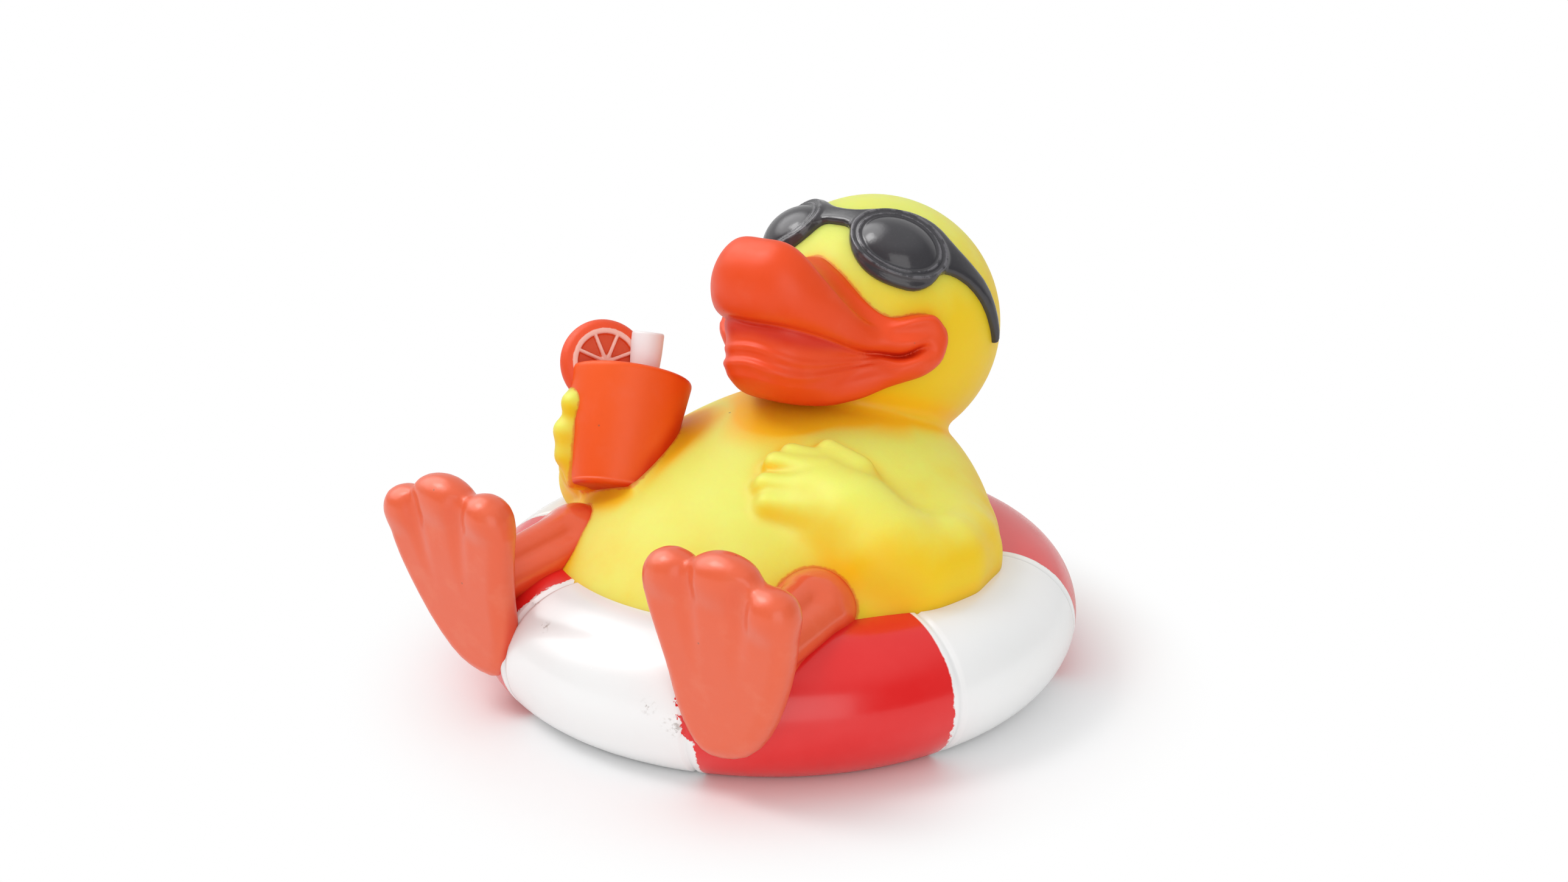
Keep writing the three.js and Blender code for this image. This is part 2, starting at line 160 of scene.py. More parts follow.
def within(field: Field, box: Box) -> Field:
    """Limit a field to a box, to save work outside it.

    Args:
        field: the field to limit.
        box: lowest and highest corner of the box.

    Returns:
        A field that is plainly far outside the box.
    """
    low, high = box

    def limited(points: Array) -> Array:
        """Measure the points in the box only."""
        inside = np.all((points > low) & (points < high), axis=-1)
        made = np.full(len(points), FAR)
        if inside.any():
            made[inside] = field(points[inside])
        return made

    return limited


class SmoothCurve:
    """A natural cubic curve through knots, held at its end values outside them."""

    def __init__(self, knots: list[tuple[float, float]]) -> None:
        """Work out the curve's bends.

        Args:
            knots: position and value pairs, in rising order.
        """
        self.at, self.value = np.array(knots, float).T
        gap = np.diff(self.at)
        count = len(knots)
        system = np.eye(count)
        right = np.zeros(count)
        for i in range(1, count - 1):
            system[i, i - 1 : i + 2] = gap[i - 1], 2 * (gap[i - 1] + gap[i]), gap[i]
            slopes = np.diff(self.value[i - 1 : i + 2]) / gap[i - 1 : i + 1]
            right[i] = 6 * (slopes[1] - slopes[0])
        self.bend = np.linalg.solve(system, right)

    def __call__(self, position: Array) -> Array:
        """Values of the curve at those positions."""
        held = np.clip(position, self.at[0], self.at[-1])
        i = np.clip(np.searchsorted(self.at, held) - 1, 0, len(self.at) - 2)
        gap = self.at[i + 1] - self.at[i]
        before = (self.at[i + 1] - held) / gap
        after = 1 - before
        bow = (before**3 - before) * self.bend[i] + (after**3 - after) * self.bend[i + 1]
        return before * self.value[i] + after * self.value[i + 1] + bow * gap**2 / 6


def outline_distance(points: Array, outline: Array) -> Array:
    """Signed distance from flat points to a closed outline.

    Args:
        points: flat points.
        outline: corners of the outline in order.

    Returns:
        Distances, negative inside.
    """
    nearest = np.full(len(points), np.inf)
    inside = np.zeros(len(points), bool)
    for one, two in zip(outline, np.roll(outline, -1, axis=0)):
        edge = two - one
        offset = points - one
        share = np.clip(offset @ edge / (edge @ edge), 0, 1)
        nearest = np.minimum(nearest, np.sum((offset - share[:, None] * edge) ** 2, axis=-1))
        if one[1] != two[1]:
            crosses = (points[:, 1] < one[1]) != (points[:, 1] < two[1])
            inside ^= crosses & (offset[:, 0] < offset[:, 1] * edge[0] / edge[1])
    return np.where(inside, -1, 1) * np.sqrt(nearest)


def corners_cut(outlines: Array, axis: int) -> Array:
    """Cut the corners of closed outlines at a quarter and three quarters of each edge.

    Args:
        outlines: flat corners, in order along that axis.
        axis: the axis that counts the corners.

    Returns:
        The outlines with twice as many corners.
    """
    ahead = np.roll(outlines, -1, axis=axis)
    made = np.stack([0.75 * outlines + 0.25 * ahead, 0.25 * outlines + 0.75 * ahead], axis + 1)
    return made.reshape(*outlines.shape[:axis], -1, 2)


# Meshes.


def in_batches(field: Field, points: Array) -> Array:
    """Work a field out a part at a time, to keep the memory small."""
    return np.concatenate([field(batch) for batch in np.array_split(points, len(points) // BATCH + 1)])


def skin_over(field: Field, box: Box, step: float) -> tuple[Array, Array]:
    """Put a closed skin of four-sided faces over a field.

    Args:
        field: the shape to cover.
        box: lowest and highest corner of the space to search.
        step: size of the faces.

    Returns:
        Points in millimetres, and the corner numbers of the faces.
    """
    low, high = box
    block, rough_reach = 4, 2.0
    probe, settling_steps, least_slope = 0.02, 3, 0.05
    count = [math.ceil((b - a) / (step * block)) for a, b in zip(low, high)]
    blocks = np.stack(np.meshgrid(*[np.arange(n) for n in count], indexing="ij"), -1).reshape(-1, 3) * block
    middles = np.array(low) + (blocks + (block - 1) / 2) * step
    rough = in_batches(field, middles)
    close = np.abs(rough) < rough_reach * block * step
    inner = np.stack(np.meshgrid(*[np.arange(block)] * 3, indexing="ij"), -1).reshape(-1, 3)
    cells = (blocks[close][:, None] + inner).reshape(-1, 3)
    values = np.sign(rough).reshape(count)
    for axis in range(3):
        values = np.repeat(values, block, axis)
    values *= FAR
    values[tuple(cells.T)] = in_batches(field, np.array(low) + cells * step)
    volume = openvdb.FloatGrid(FAR)
    volume.copyFromArray(values.astype(np.float32))
    points, faces = volume.convertToQuads(isovalue=0.0)
    points = np.array(low) + points.astype(float) * step
    for _ in range(settling_steps):
        rises = [field(points + side) - field(points - side) for side in np.eye(3) * probe]
        slope = np.stack(rises, -1) / (2 * probe)
        away = field(points)
        move = away[:, None] * slope / np.maximum(np.sum(slope**2, -1), least_slope)[:, None]
        points -= np.clip(move, -0.5 * step, 0.5 * step)
    return points, faces


def turned(profile: list[tuple[float, float]], around: int) -> tuple[Array, Array]:
    """Turn a profile about the Z axis into a closed body.

    Args:
        profile: radius and height pairs; the first and last lie on the axis.
        around: number of steps round the axis.

    Returns:
        Points and the corner numbers of the faces, which are triangles and four-sided faces.
    """
    angles = np.linspace(0, 2 * math.pi, around, endpoint=False)
    circle = np.stack([np.cos(angles), np.sin(angles)], -1)
    points = [(0.0, 0.0, profile[0][1])]
    for radius, height in profile[1:-1]:
        points += [(radius * x, radius * y, height) for x, y in circle]
    points.append((0.0, 0.0, profile[-1][1]))
    faces = []
    rows = len(profile) - 2
    for i in range(around):
        j = (i + 1) % around
        faces.append((0, 1 + j, 1 + i))
        for row in range(rows - 1):
            a, b = 1 + row * around, 1 + (row + 1) * around
            faces.append((a + i, a + j, b + j, b + i))
        last = 1 + (rows - 1) * around
        faces.append((last + i, last + j, len(points) - 1))
    return np.array(points), faces


def softened(corners: list[tuple[float, float, float]], steps: int = 5) -> list[tuple[float, float]]:
    """Round the corners of a profile.

    Args:
        corners: radius, height and rounding of each corner.
        steps: points on each rounding.

    Returns:
        The profile with its roundings drawn out.
    """
    made = []
    for i, (radius, height, reach) in enumerate(corners):
        here = np.array([radius, height])
        if not reach or i in (0, len(corners) - 1):
            made.append((radius, height))
            continue
        before = np.array(corners[i - 1][:2]) - here
        after = np.array(corners[i + 1][:2]) - here
        start = here + before * min(0.5, reach / np.linalg.norm(before))
        end = here + after * min(0.5, reach / np.linalg.norm(after))
        for t in np.linspace(0, 1, steps):
            made.append(tuple((1 - t) ** 2 * start + 2 * t * (1 - t) * here + t**2 * end))
    return made


def enclosed_volume(points: Array, mesh: bpy.types.Mesh) -> float:
    """Signed volume inside a mesh, which is negative when its faces point inwards."""
    mesh.calc_loop_triangles()
    corners = np.zeros(len(mesh.loop_triangles) * 3, np.int32)
    mesh.loop_triangles.foreach_get("vertices", corners)
    a, b, c = points[corners.reshape(-1, 3)].transpose(1, 0, 2)
    return float(np.sum(a * np.cross(b, c)) / 6)


def in_scene(name: str, data: bpy.types.ID) -> bpy.types.Object:
    """Put a mesh, lamp or camera into the scene as an object."""
    made = bpy.data.objects.new(name, data)
    bpy.context.scene.collection.objects.link(made)
    return made


def corners_of(mesh: bpy.types.Mesh) -> Array:
    """The points of a mesh, in its own units."""
    points = np.zeros(len(mesh.vertices) * 3)
    mesh.vertices.foreach_get("co", points)
    return points.reshape(-1, 3)


def mesh_piece(name: str, points: Array, faces: Any) -> bpy.types.Object:
    """Make a smooth closed object from points in millimetres.

    Args:
        name: the piece's name.
        points: points in the ring's frame.
        faces: corner numbers of each face.

    Returns:
        The object, at the origin of the part's frame, with its faces outwards.
    """
    placed = (points + FRAME_SHIFT) * MILLIMETRE
    mesh = bpy.data.meshes.new(name)
    mesh.from_pydata(placed.tolist(), [], [tuple(int(i) for i in face) for face in faces])
    mesh.update()
    if enclosed_volume(placed, mesh) < 0:
        mesh.flip_normals()
    mesh.shade_smooth()
    return in_scene(name, mesh)


def store(piece: bpy.types.Object, name: str, values: Array) -> None:
    """Keep one number per vertex on a piece for its material to read."""
    layer = piece.data.attributes.new(name, "FLOAT", "POINT")
    layer.data.foreach_set("value", values.astype(np.float32))


# Node trees.


class Value:
    """A number socket in a node tree, which can be used in sums."""

    def __init__(self, tree: "Tree", socket: bpy.types.NodeSocket) -> None:
        """Wrap a socket of that tree."""
        self.tree = tree
        self.socket = socket

    def __add__(self, other: Any) -> "Value":
        """Sum of this and another number."""
        return self.tree.math("ADD", self, other)

    __radd__ = __add__

    def __sub__(self, other: Any) -> "Value":
        """This number less another."""
        return self.tree.math("SUBTRACT", self, other)

    def __rsub__(self, other: Any) -> "Value":
        """Another number less this one."""
        return self.tree.math("SUBTRACT", other, self)

    def __mul__(self, other: Any) -> "Value":
        """Product of this and another number."""
        return self.tree.math("MULTIPLY", self, other)

    __rmul__ = __mul__

    def __truediv__(self, other: Any) -> "Value":
        """This number divided by another."""
        return self.tree.math("DIVIDE", self, other)

    def __neg__(self) -> "Value":
        """This number with its sign turned."""
        return self.tree.math("MULTIPLY", self, -1.0)

    def __abs__(self) -> "Value":
        """Size of this number."""
        return self.tree.math("ABSOLUTE", self)

    def least(self, other: Any) -> "Value":
        """The lesser of this and another number."""
        return self.tree.math("MINIMUM", self, other)

    def most(self, other: Any) -> "Value":
        """The greater of this and another number."""
        return self.tree.math("MAXIMUM", self, other)

    def ramp(self, low: float, high: float) -> "Value":
        """Ease from 0 at low to 1 at high, or the other way where low is the greater."""
        return self.tree.ramp(self, low, high)


class Tree:
    """A node tree under construction."""

    def __init__(self, nodes: bpy.types.NodeTree) -> None:
        """Work on that tree."""
        self.nodes = nodes

    def add(self, kind: str, settings: dict[str, Any] | None = None, **inputs: Any) -> bpy.types.Node:
        """Add a node.

        Args:
            kind: the node's type.
            settings: properties of the node, which are set first.
            **inputs: values or links, by socket name with _ for a space, or i0, i1 by place.

        Returns:
            The node.
        """
        node = self.nodes.nodes.new(kind)
        for name, value in (settings or {}).items():
            setattr(node, name, value)
        for name, value in inputs.items():
            numbered = name[0] == "i" and name[1:].isdigit()
            socket = node.inputs[int(name[1:])] if numbered else node.inputs[name.replace("_", " ")]
            self.plug(socket, value)
        return node

    def plug(self, socket: bpy.types.NodeSocket, value: Any) -> None:
        """Link a value to a socket, or set it there if it is plain."""
        if isinstance(value, Value):
            self.nodes.links.new(value.socket, socket)
        elif isinstance(value, bpy.types.NodeSocket):
            self.nodes.links.new(value, socket)
        elif isinstance(value, Colour):
            socket.default_value = (*value.value, 1.0)
        else:
            socket.default_value = value

    def math(self, operation: str, *terms: Any) -> Value:
        """One sum on numbers."""
        inputs = {f"i{i}": term for i, term in enumerate(terms)}
        node = self.add("ShaderNodeMath", {"operation": operation}, **inputs)
        return Value(self, node.outputs[0])

    def ramp(self, value: Any, low: float, high: float) -> Value:
        """Ease a value from 0 at low to 1 at high."""
        flip = low > high
        edges = {"i1": min(low, high), "i2": max(low, high), "i3": float(flip), "i4": float(not flip)}
        node = self.add("ShaderNodeMapRange", {"interpolation_type": "SMOOTHSTEP"}, i0=value, **edges)
        return Value(self, node.outputs[0])


class Paint(Tree):
    """The node tree of one material."""

    def __init__(self, name: str) -> None:
        """Start a material with a plain shader of its own."""
        self.material = bpy.data.materials.new(name)
        self.material.use_nodes = True
        super().__init__(self.material.node_tree)
        self.nodes.nodes.clear()
        self.shader = self.add("ShaderNodeBsdfPrincipled")
        self.output = self.add("ShaderNodeOutputMaterial", Surface=self.shader.outputs[0])
        self.place = self.add("ShaderNodeTexCoord").outputs["Object"]

    def stored(self, name: str) -> Value:
        """A number kept on the mesh."""
        node = self.add("ShaderNodeAttribute", {"attribute_name": name})
        return Value(self, node.outputs["Fac"])

    def axis(self, index: int) -> Value:
        """The place along X, Y or Z, in millimetres."""
        parts = self.add("ShaderNodeSeparateXYZ", Vector=self.place)
        return Value(self, parts.outputs[index]) / MILLIMETRE

    def out(self, middle: float = 0.0) -> Value:
        """Distance in millimetres from an upright axis, which stands that far along Y."""
        across, behind = self.axis(0), self.axis(1) - middle
        return self.math("SQRT", across * across + behind * behind)

    def noise(self, size: float, detail: float = 3.0, offset: float = 0.0) -> Value:
        """Soft random pattern between 0 and 1.

        Args:
            size: size of its patches in millimetres.
            detail: how much finer pattern it carries.
            offset: moves the pattern, so that two patterns differ.

        Returns:
            The pattern.
        """
        moved = self.add("ShaderNodeMapping", i0=self.place, i1=(offset, offset, offset))
        sizes = {"Scale": 1 / (size * MILLIMETRE), "Detail": detail, "Roughness": 0.55}
        node = self.add("ShaderNodeTexNoise", Vector=moved.outputs[0], **sizes)
        return Value(self, node.outputs["Fac"])

    def sway(self, reach: float, *pattern: float) -> Value:
        """Soft random pattern that strays by half that reach to either side of 0."""
        return (self.noise(*pattern) - 0.5) * reach

    def spots(self, size: float, offset: float = 0.0) -> Value:
        """Distance to the nearest of scattered spots, in units of their spacing."""
        moved = self.add("ShaderNodeMapping", i0=self.place, i1=(offset, offset, offset))
        node = self.add("ShaderNodeTexVoronoi", Vector=moved.outputs[0], Scale=1 / (size * MILLIMETRE))
        return Value(self, node.outputs["Distance"])

    def near(self, x: float, y: float, z: float, reach: float) -> Value:
        """How near each place is to a spot of the ring, from 1 on it to 0 at its reach, in millimetres."""
        spot = tuple((np.array([x, y, z]) + FRAME_SHIFT) * MILLIMETRE)
        node = self.add("ShaderNodeVectorMath", {"operation": "DISTANCE"}, i0=self.place, i1=spot)
        return (Value(self, node.outputs["Value"]) / MILLIMETRE).ramp(reach, reach * 0.2)

    def mixed(self, share: Any, first: Any, second: Any) -> bpy.types.NodeSocket:
        """Mix two colours.

        Args:
            share: how much of the second colour shows.
            first: a colour or a link.
            second: a colour or a link.

        Returns:
            The mixed colour's socket.
        """
        node = self.add("ShaderNodeMix", {"data_type": "RGBA"}, i0=share)
        for socket, colour in zip(node.inputs[6:8], (first, second)):
            self.plug(socket, colour)
        return node.outputs[2]

    def finish(self, colour: Any, rough: Any, height: Any = None, deep: float = 0.1, **settings: Any) -> None:
        """Feed the shader.

        Args:
            colour: base colour.
            rough: roughness.
            height: relief pattern between 0 and 1, or None.
            deep: depth of that relief in millimetres.
            **settings: fixed values for other sockets of the shader.
        """
        for name, value in {"Base_Color": colour, "Roughness": rough, **settings}.items():
            self.plug(self.shader.inputs[name.replace("_", " ")], value)
        if height is not None:
            relief = self.add("ShaderNodeBump", Strength=1.0, Distance=deep * MILLIMETRE, Height=height)
            self.plug(self.shader.inputs["Normal"], relief.outputs[0])


class Form(Tree):
    """A geometry node tree that makes one piece."""

    def __init__(self, name: str) -> None:
        """Start an empty tree."""
        self.group = bpy.data.node_groups.new(name, "GeometryNodeTree")
        super().__init__(self.group)
        self.group.interface.new_socket("Geometry", in_out="OUTPUT", socket_type="NodeSocketGeometry")
        self.source = self.nodes.nodes.new("NodeGroupInput")
        self.values: dict[str, Any] = {}

    def size(self, name: str, value: Any, kind: str = "NodeSocketFloat") -> Value:
        """Add a named input.

        Args:
            name: what the size is called.
            value: what the piece uses.
            kind: type of the socket.

        Returns:
            The input as a value.
        """
        socket = self.group.interface.new_socket(name, in_out="INPUT", socket_type=kind)
        self.values[socket.identifier] = value
        return Value(self, self.source.outputs[name])

    def numbered(self, name: str, value: int) -> Value:
        """Add a named whole-number input."""
        return self.size(name, value, "NodeSocketInt")

    def sheet(self, around: int, along: int) -> tuple[bpy.types.Node, Value, Value]:
        """Add a flat grid that is to be wrapped into a closed body.

        Args:
            around: number of points round the body.
            along: number of points along its section.

        Returns:
            The grid, and how far round and along it each point lies, from -0.5 to 0.5.
        """
        sizes = {"i2": self.numbered("Around", around), "i3": self.numbered("Along", along)}
        grid = self.add("GeometryNodeMeshGrid", i0=1.0, i1=1.0, **sizes)
        place = self.add("ShaderNodeSeparateXYZ", i0=self.add("GeometryNodeInputPosition").outputs[0])
        return grid, Value(self, place.outputs[0]), Value(self, place.outputs[1])

    def wrapped(self, sheet: bpy.types.Node, place: tuple[Value, ...], seam: float) -> bpy.types.Node:
        """Move the points of a sheet to their places and close the seams.

        Args:
            sheet: the grid, with what is stored on it.
            place: x, y and z of each point.
            seam: how near two points are to become one.

        Returns:
            The closed body.
        """
        spot = self.add("ShaderNodeCombineXYZ", i0=place[0], i1=place[1], i2=place[2])
        shaped = self.add("GeometryNodeSetPosition", Geometry=sheet.outputs[0], Position=spot.outputs[0])
        return self.add("GeometryNodeMergeByDistance", Geometry=shaped.outputs[0], Distance=seam)

    def built(self, name: str, body: bpy.types.Node, finish: bpy.types.Material) -> bpy.types.Object:
        """Run the tree and turn its result into a plain mesh.

        Args:
            name: the piece's name.
            body: the node that makes the finished geometry.
            finish: the piece's material.

        Returns:
            The piece.
        """
        dressed = self.size("Finish", finish, "NodeSocketMaterial")
        whole = self.add("GeometryNodeRealizeInstances", i0=body.outputs[0])
        painted = self.add("GeometryNodeSetMaterial", Geometry=whole.outputs[0], Material=dressed)
        self.add("NodeGroupOutput", i0=painted.outputs[0])
        carrier = in_scene(name + "_form", bpy.data.meshes.new(name + "_form"))
        modifier = carrier.modifiers.new("Form", "NODES")
        modifier.node_group = self.group
        for identifier, value in self.values.items():
            modifier[identifier] = value
        bpy.context.view_layer.update()
        ready = carrier.evaluated_get(bpy.context.evaluated_depsgraph_get())
        mesh = bpy.data.meshes.new_from_object(ready)
        mesh.name = name
        bpy.data.objects.remove(carrier)
        if enclosed_volume(corners_of(mesh), mesh) < 0:
            mesh.flip_normals()
        mesh.shade_smooth()
        mesh.materials.clear()
        mesh.materials.append(finish)
        return in_scene(name, mesh)


# Finishes.


class Colour(Enum):
    """The paints and plastics, as linear colours, with lit and shaded copies where light and shade are
    painted.
    """

    SKY_LIT_YELLOW = (0.78, 0.82, 0.15)
    SKY_SHADED_YELLOW = (0.85, 0.58, 0.01)
    CREASE_SHADE_YELLOW = (0.97, 0.53, 0.006)
    BILL = (0.8, 0.066, 0.006)
    # Deep bill orange is painted shade in the creases of the bill and cup, and the orange moulding under the
    # straw's pale paint.
    DEEP_BILL = (0.6, 0.014, 0.002)
    # Pale bill and foot colours are painted highlight on ridges, and random pale mottling.
    PALE_BILL = (0.84, 0.155, 0.08)
    FOOT = (0.78, 0.12, 0.045)
    SHADED_FOOT = (0.72, 0.055, 0.014)
    PALE_FOOT = (0.83, 0.28, 0.17)
    CUP = (0.86, 0.095, 0.006)
    RED = (0.74, 0.014, 0.014)
    BRIGHT_RED = (0.8, 0.03, 0.03)
    WHITE = (0.86, 0.865, 0.86)
    DULL_WHITE = (0.84, 0.8, 0.8)
    BLACK = (0.009, 0.009, 0.011)
    WORN_BLACK = (0.17, 0.165, 0.18)
    PINK = (0.88, 0.5, 0.42)
    FLESH = (0.72, 0.075, 0.012)
    STRAW = (0.86, 0.82, 0.82)
    GRIME = (0.16, 0.1, 0.06)
    NATURAL = (0.78, 0.76, 0.68)
    DULL_NATURAL = (0.66, 0.63, 0.54)
    PAPER = (0.93, 0.93, 0.935)
    LIGHT = (1.0, 1.0, 1.0)


@dataclass(frozen=True)
class VinylFinish:
    """Bare yellow vinyl: matte, mottled, with stray paint round the painted zones, and painted shade that is
    golden away from the sky and low down, and warm orange in hollows.
    """

    roughness: float = 0.46
    grain: float = 0.35

    def made(self) -> bpy.types.Material:
        """Build the material."""
        paint = Paint("yellow_vinyl")
        # Painted shade: golden yellow where the skin faces away from the sky and towards the bottom, lemon
        # where it faces the sky.
        away = paint.stored("away") + paint.sway(0.3, 9.0, 4.0)
        base = paint.mixed(away.ramp(0.02, 0.5), Colour.SKY_LIT_YELLOW, Colour.SKY_SHADED_YELLOW)
        # Painted shade: warm orange in the hollows and creases of the skin.
        base = paint.mixed(paint.stored("hollow").ramp(0.08, 0.55) * 0.95, base, Colour.CREASE_SHADE_YELLOW)
        ragged = paint.stored("stray_paint") + paint.sway(0.8, 0.9, 5.0, 3.0)
        base = paint.mixed(ragged.ramp(0.5, 0.1) * 0.6, base, Colour.BILL)
        base = paint.mixed(paint.spots(11.0, 0.7).ramp(0.024, 0.012) * 0.7, base, Colour.GRIME)
        rough = self.roughness + paint.sway(0.22, 2.5, 3.0, 5.0)
        depth = {"Subsurface_Weight": 0.55, "Subsurface_Radius": (1.0, 0.5, 0.05), "Subsurface_Scale": 0.007}
        paint.finish(base, rough, paint.noise(self.grain, 2.0), 0.012, Specular_IOR_Level=0.3, **depth)
        return paint.material


@dataclass(frozen=True)
class PaintFinish:
    """A sprayed paint with a few specks and random pale mottling, paler on ridges as a painted highlight and
    deeper in creases as painted shade.
    """

    name: str
    body: Colour
    deep: Colour
    pale: Colour
    roughness: float
    coat: float = 0.0
    sheen: float = 0.36

    def made(self) -> bpy.types.Material:
        """Build the material."""
        paint = Paint(self.name)
        hollow = paint.stored("hollow")
        # Painted shade: deeper colour in hollows and creases.
        base = paint.mixed(hollow.ramp(0.2, 0.9) * 0.9, self.body, self.deep)
        # Painted highlight: paler on proud ridges, plus random pale mottling; less of it in hollows.
        sheen_and_mottle = paint.stored("proud").ramp(0.25, 0.9) * 0.7 + paint.noise(5.0, 4.0).ramp(0.5, 0.8) * 0.16
        base = paint.mixed(sheen_and_mottle * (1 - hollow.ramp(0.2, 0.7)), base, self.pale)
        base = paint.mixed(paint.spots(7.0, 0.3).ramp(0.03, 0.018) * 0.5, base, Colour.GRIME)
        rough = self.roughness + paint.sway(0.2, 1.8, 3.0, 2.0) - paint.stored("gloss") * 0.16
        shine = {"Coat_Weight": self.coat, "Coat_Roughness": 0.2, "Specular_IOR_Level": self.sheen}
        paint.finish(base, rough, paint.noise(0.3, 2.0), 0.01, **shine)
        return paint.material


# Marks on the photographed ring: x, y, z and reach of each, in millimetres.
RED_SMEARS = ((16.8, -46.1, 14.2, 2.4), (17.6, -46.5, 12.4, 2.4), (18.4, -46.5, 10.2, 2.4))
RUBBED_SPOTS = (
    (12.4, -48.0, 12.9, 1.6),
    (16.4, -47.2, 10.6, 2.4),
    (-15.5, -41.4, 19.5, 1.2),
    (-10.3, -45.0, 18.1, 1.5),
    (36.3, 9.4, 21.3, 0.9),
    (27.5, -36.5, 17.5, 1.0),
)


@dataclass(frozen=True)
class StripeFinish:
    """The ring's red and white stripes, with ragged edges and scuffs."""

    roughness: float = 0.24

    def marked(self, paint: Paint, spots: tuple[Station, ...]) -> Value:
        """Share of a mark at each place, from 0 to 1."""
        made = paint.near(*spots[0])
        for spot in spots[1:]:
            made = made.most(paint.near(*spot))
        return made

    def wave(self, paint: Paint) -> Value:
        """A wave round the ring that is above 0 on white and below 0 on red."""
        angle = paint.math("ARCTAN2", paint.axis(0), -(paint.axis(1) - float(FRAME_SHIFT[1])))
        ragged = paint.sway(0.05, 2.2, 5.0) + paint.sway(0.03, 0.6, 4.0, 4.0)
        torn = ragged * paint.noise(18.0, 1.0, 9.0).ramp(0.4, 0.62)
        smeared = self.marked(paint, RED_SMEARS) * (0.08 + paint.noise(1.2, 5.0, 6.5).ramp(0.35, 0.65) * 0.24)
        return paint.math("COSINE", (angle + torn) * STRIPES) - smeared

    def made(self) -> bpy.types.Material:
        """Build the material."""
        paint = Paint("ring_stripes")
        wave = self.wave(paint)
        white = wave.ramp(-0.012, 0.012)
        red = paint.mixed(paint.noise(7.0, 3.0, 6.0).ramp(0.4, 0.8) * 0.3, Colour.RED, Colour.BRIGHT_RED)
        stain = paint.noise(12.0, 3.0, 8.0).ramp(0.4, 0.8) * 0.25
        clean = paint.mixed(stain, Colour.WHITE, Colour.DULL_WHITE)
        scuffed = paint.noise(6.0, 5.0, 11.0).ramp(0.6, 0.7) * paint.noise(0.8, 5.0, 2.0).ramp(0.6, 0.66)
        edge_wear = abs(wave).ramp(0.16, 0.0) * scuffed * 0.8
        rubbed = self.marked(paint, RUBBED_SPOTS) * paint.noise(0.7, 5.0, 5.5).ramp(0.5, 0.66) * 0.5
        base = paint.mixed(white, red, clean)
        for dirt in (edge_wear, rubbed, paint.spots(9.0, 0.4).ramp(0.028, 0.014) * 0.6):
            base = paint.mixed(dirt, base, Colour.GRIME)
        relief = white * 0.6 + paint.noise(0.7, 2.0) * 0.1
        rough = self.roughness + paint.sway(0.14, 6.0, 3.0, 1.0)
        paint.finish(base, rough, relief, 0.05, Coat_Weight=0.2, Coat_Roughness=0.12)
        return paint.material


@dataclass(frozen=True)
class LacquerFinish:
    """Gloss black paint, rubbed grey along its raised rims."""

    def made(self) -> bpy.types.Material:
        """Build the material."""
        paint = Paint("black_gloss")
        worn = paint.stored("ridge").ramp(0.3, 1.0) * paint.noise(1.2, 4.0).ramp(0.25, 0.6)
        worn = worn.most(paint.stored("proud").ramp(0.3, 1.0) * 0.35)
        base = paint.mixed(worn * 0.75, Colour.BLACK, Colour.WORN_BLACK)
        dust = paint.noise(0.5, 4.0, 7.0).ramp(0.55, 0.75)
        base = paint.mixed(dust * 0.06, base, Colour.WORN_BLACK)
        rough = 0.05 + worn * 0.25 + paint.noise(0.9, 4.0, 3.0) * 0.07
        paint.finish(base, rough, paint.noise(0.9, 3.0, 5.0), 0.02, Specular_IOR_Level=0.45)
        return paint.material


@dataclass(frozen=True)
class CitrusFinish:
    """Orange flesh and rind with pale membranes."""

    def made(self) -> bpy.types.Material:
        """Build the material."""
        paint = Paint("orange_slice")
        pith = paint.stored("pith") + paint.sway(0.35, 0.5, 3.0)
        base = paint.mixed(paint.stored("rind").ramp(0.4, 0.6), Colour.FLESH, Colour.BILL)
        base = paint.mixed(pith.ramp(0.35, 0.6) * 0.92, base, Colour.PINK)
        paint.finish(base, 0.5 + paint.sway(0.2, 1.0), paint.noise(0.35, 2.0), 0.03)
        return paint.material


@dataclass(frozen=True)
class ThinPaintFinish:
    """Pale paint sprayed thinly over a coloured moulding, so that its foot shows through."""

    name: str
    body: Colour
    under: Colour

    def made(self) -> bpy.types.Material:
        """Build the material."""
        paint = Paint(self.name)
        bare = paint.stored("bare") + paint.sway(0.5, 0.9, 4.0)
        base = paint.mixed(bare.ramp(0.45, 0.7), self.body, self.under)
        paint.finish(base, 0.48 + paint.sway(0.2, 1.0), paint.noise(0.4, 2.0), 0.02)
        return paint.material


@dataclass(frozen=True)
class PlugFinish:
    """Natural moulded polyethylene with a faint turned grain."""

    def made(self) -> bpy.types.Material:
        """Build the material."""
        paint = Paint("squeaker_plastic")
        rings = paint.math("SINE", paint.out(float(FRAME_SHIFT[1])) * 14.0)
        base = paint.mixed(paint.noise(1.5, 3.0).ramp(0.4, 0.8) * 0.4, Colour.NATURAL, Colour.DULL_NATURAL)
        paint.finish(base, 0.4 + paint.sway(0.15, 0.6), rings * 0.5 + 0.5, 0.01)
        return paint.material


# The moulding.


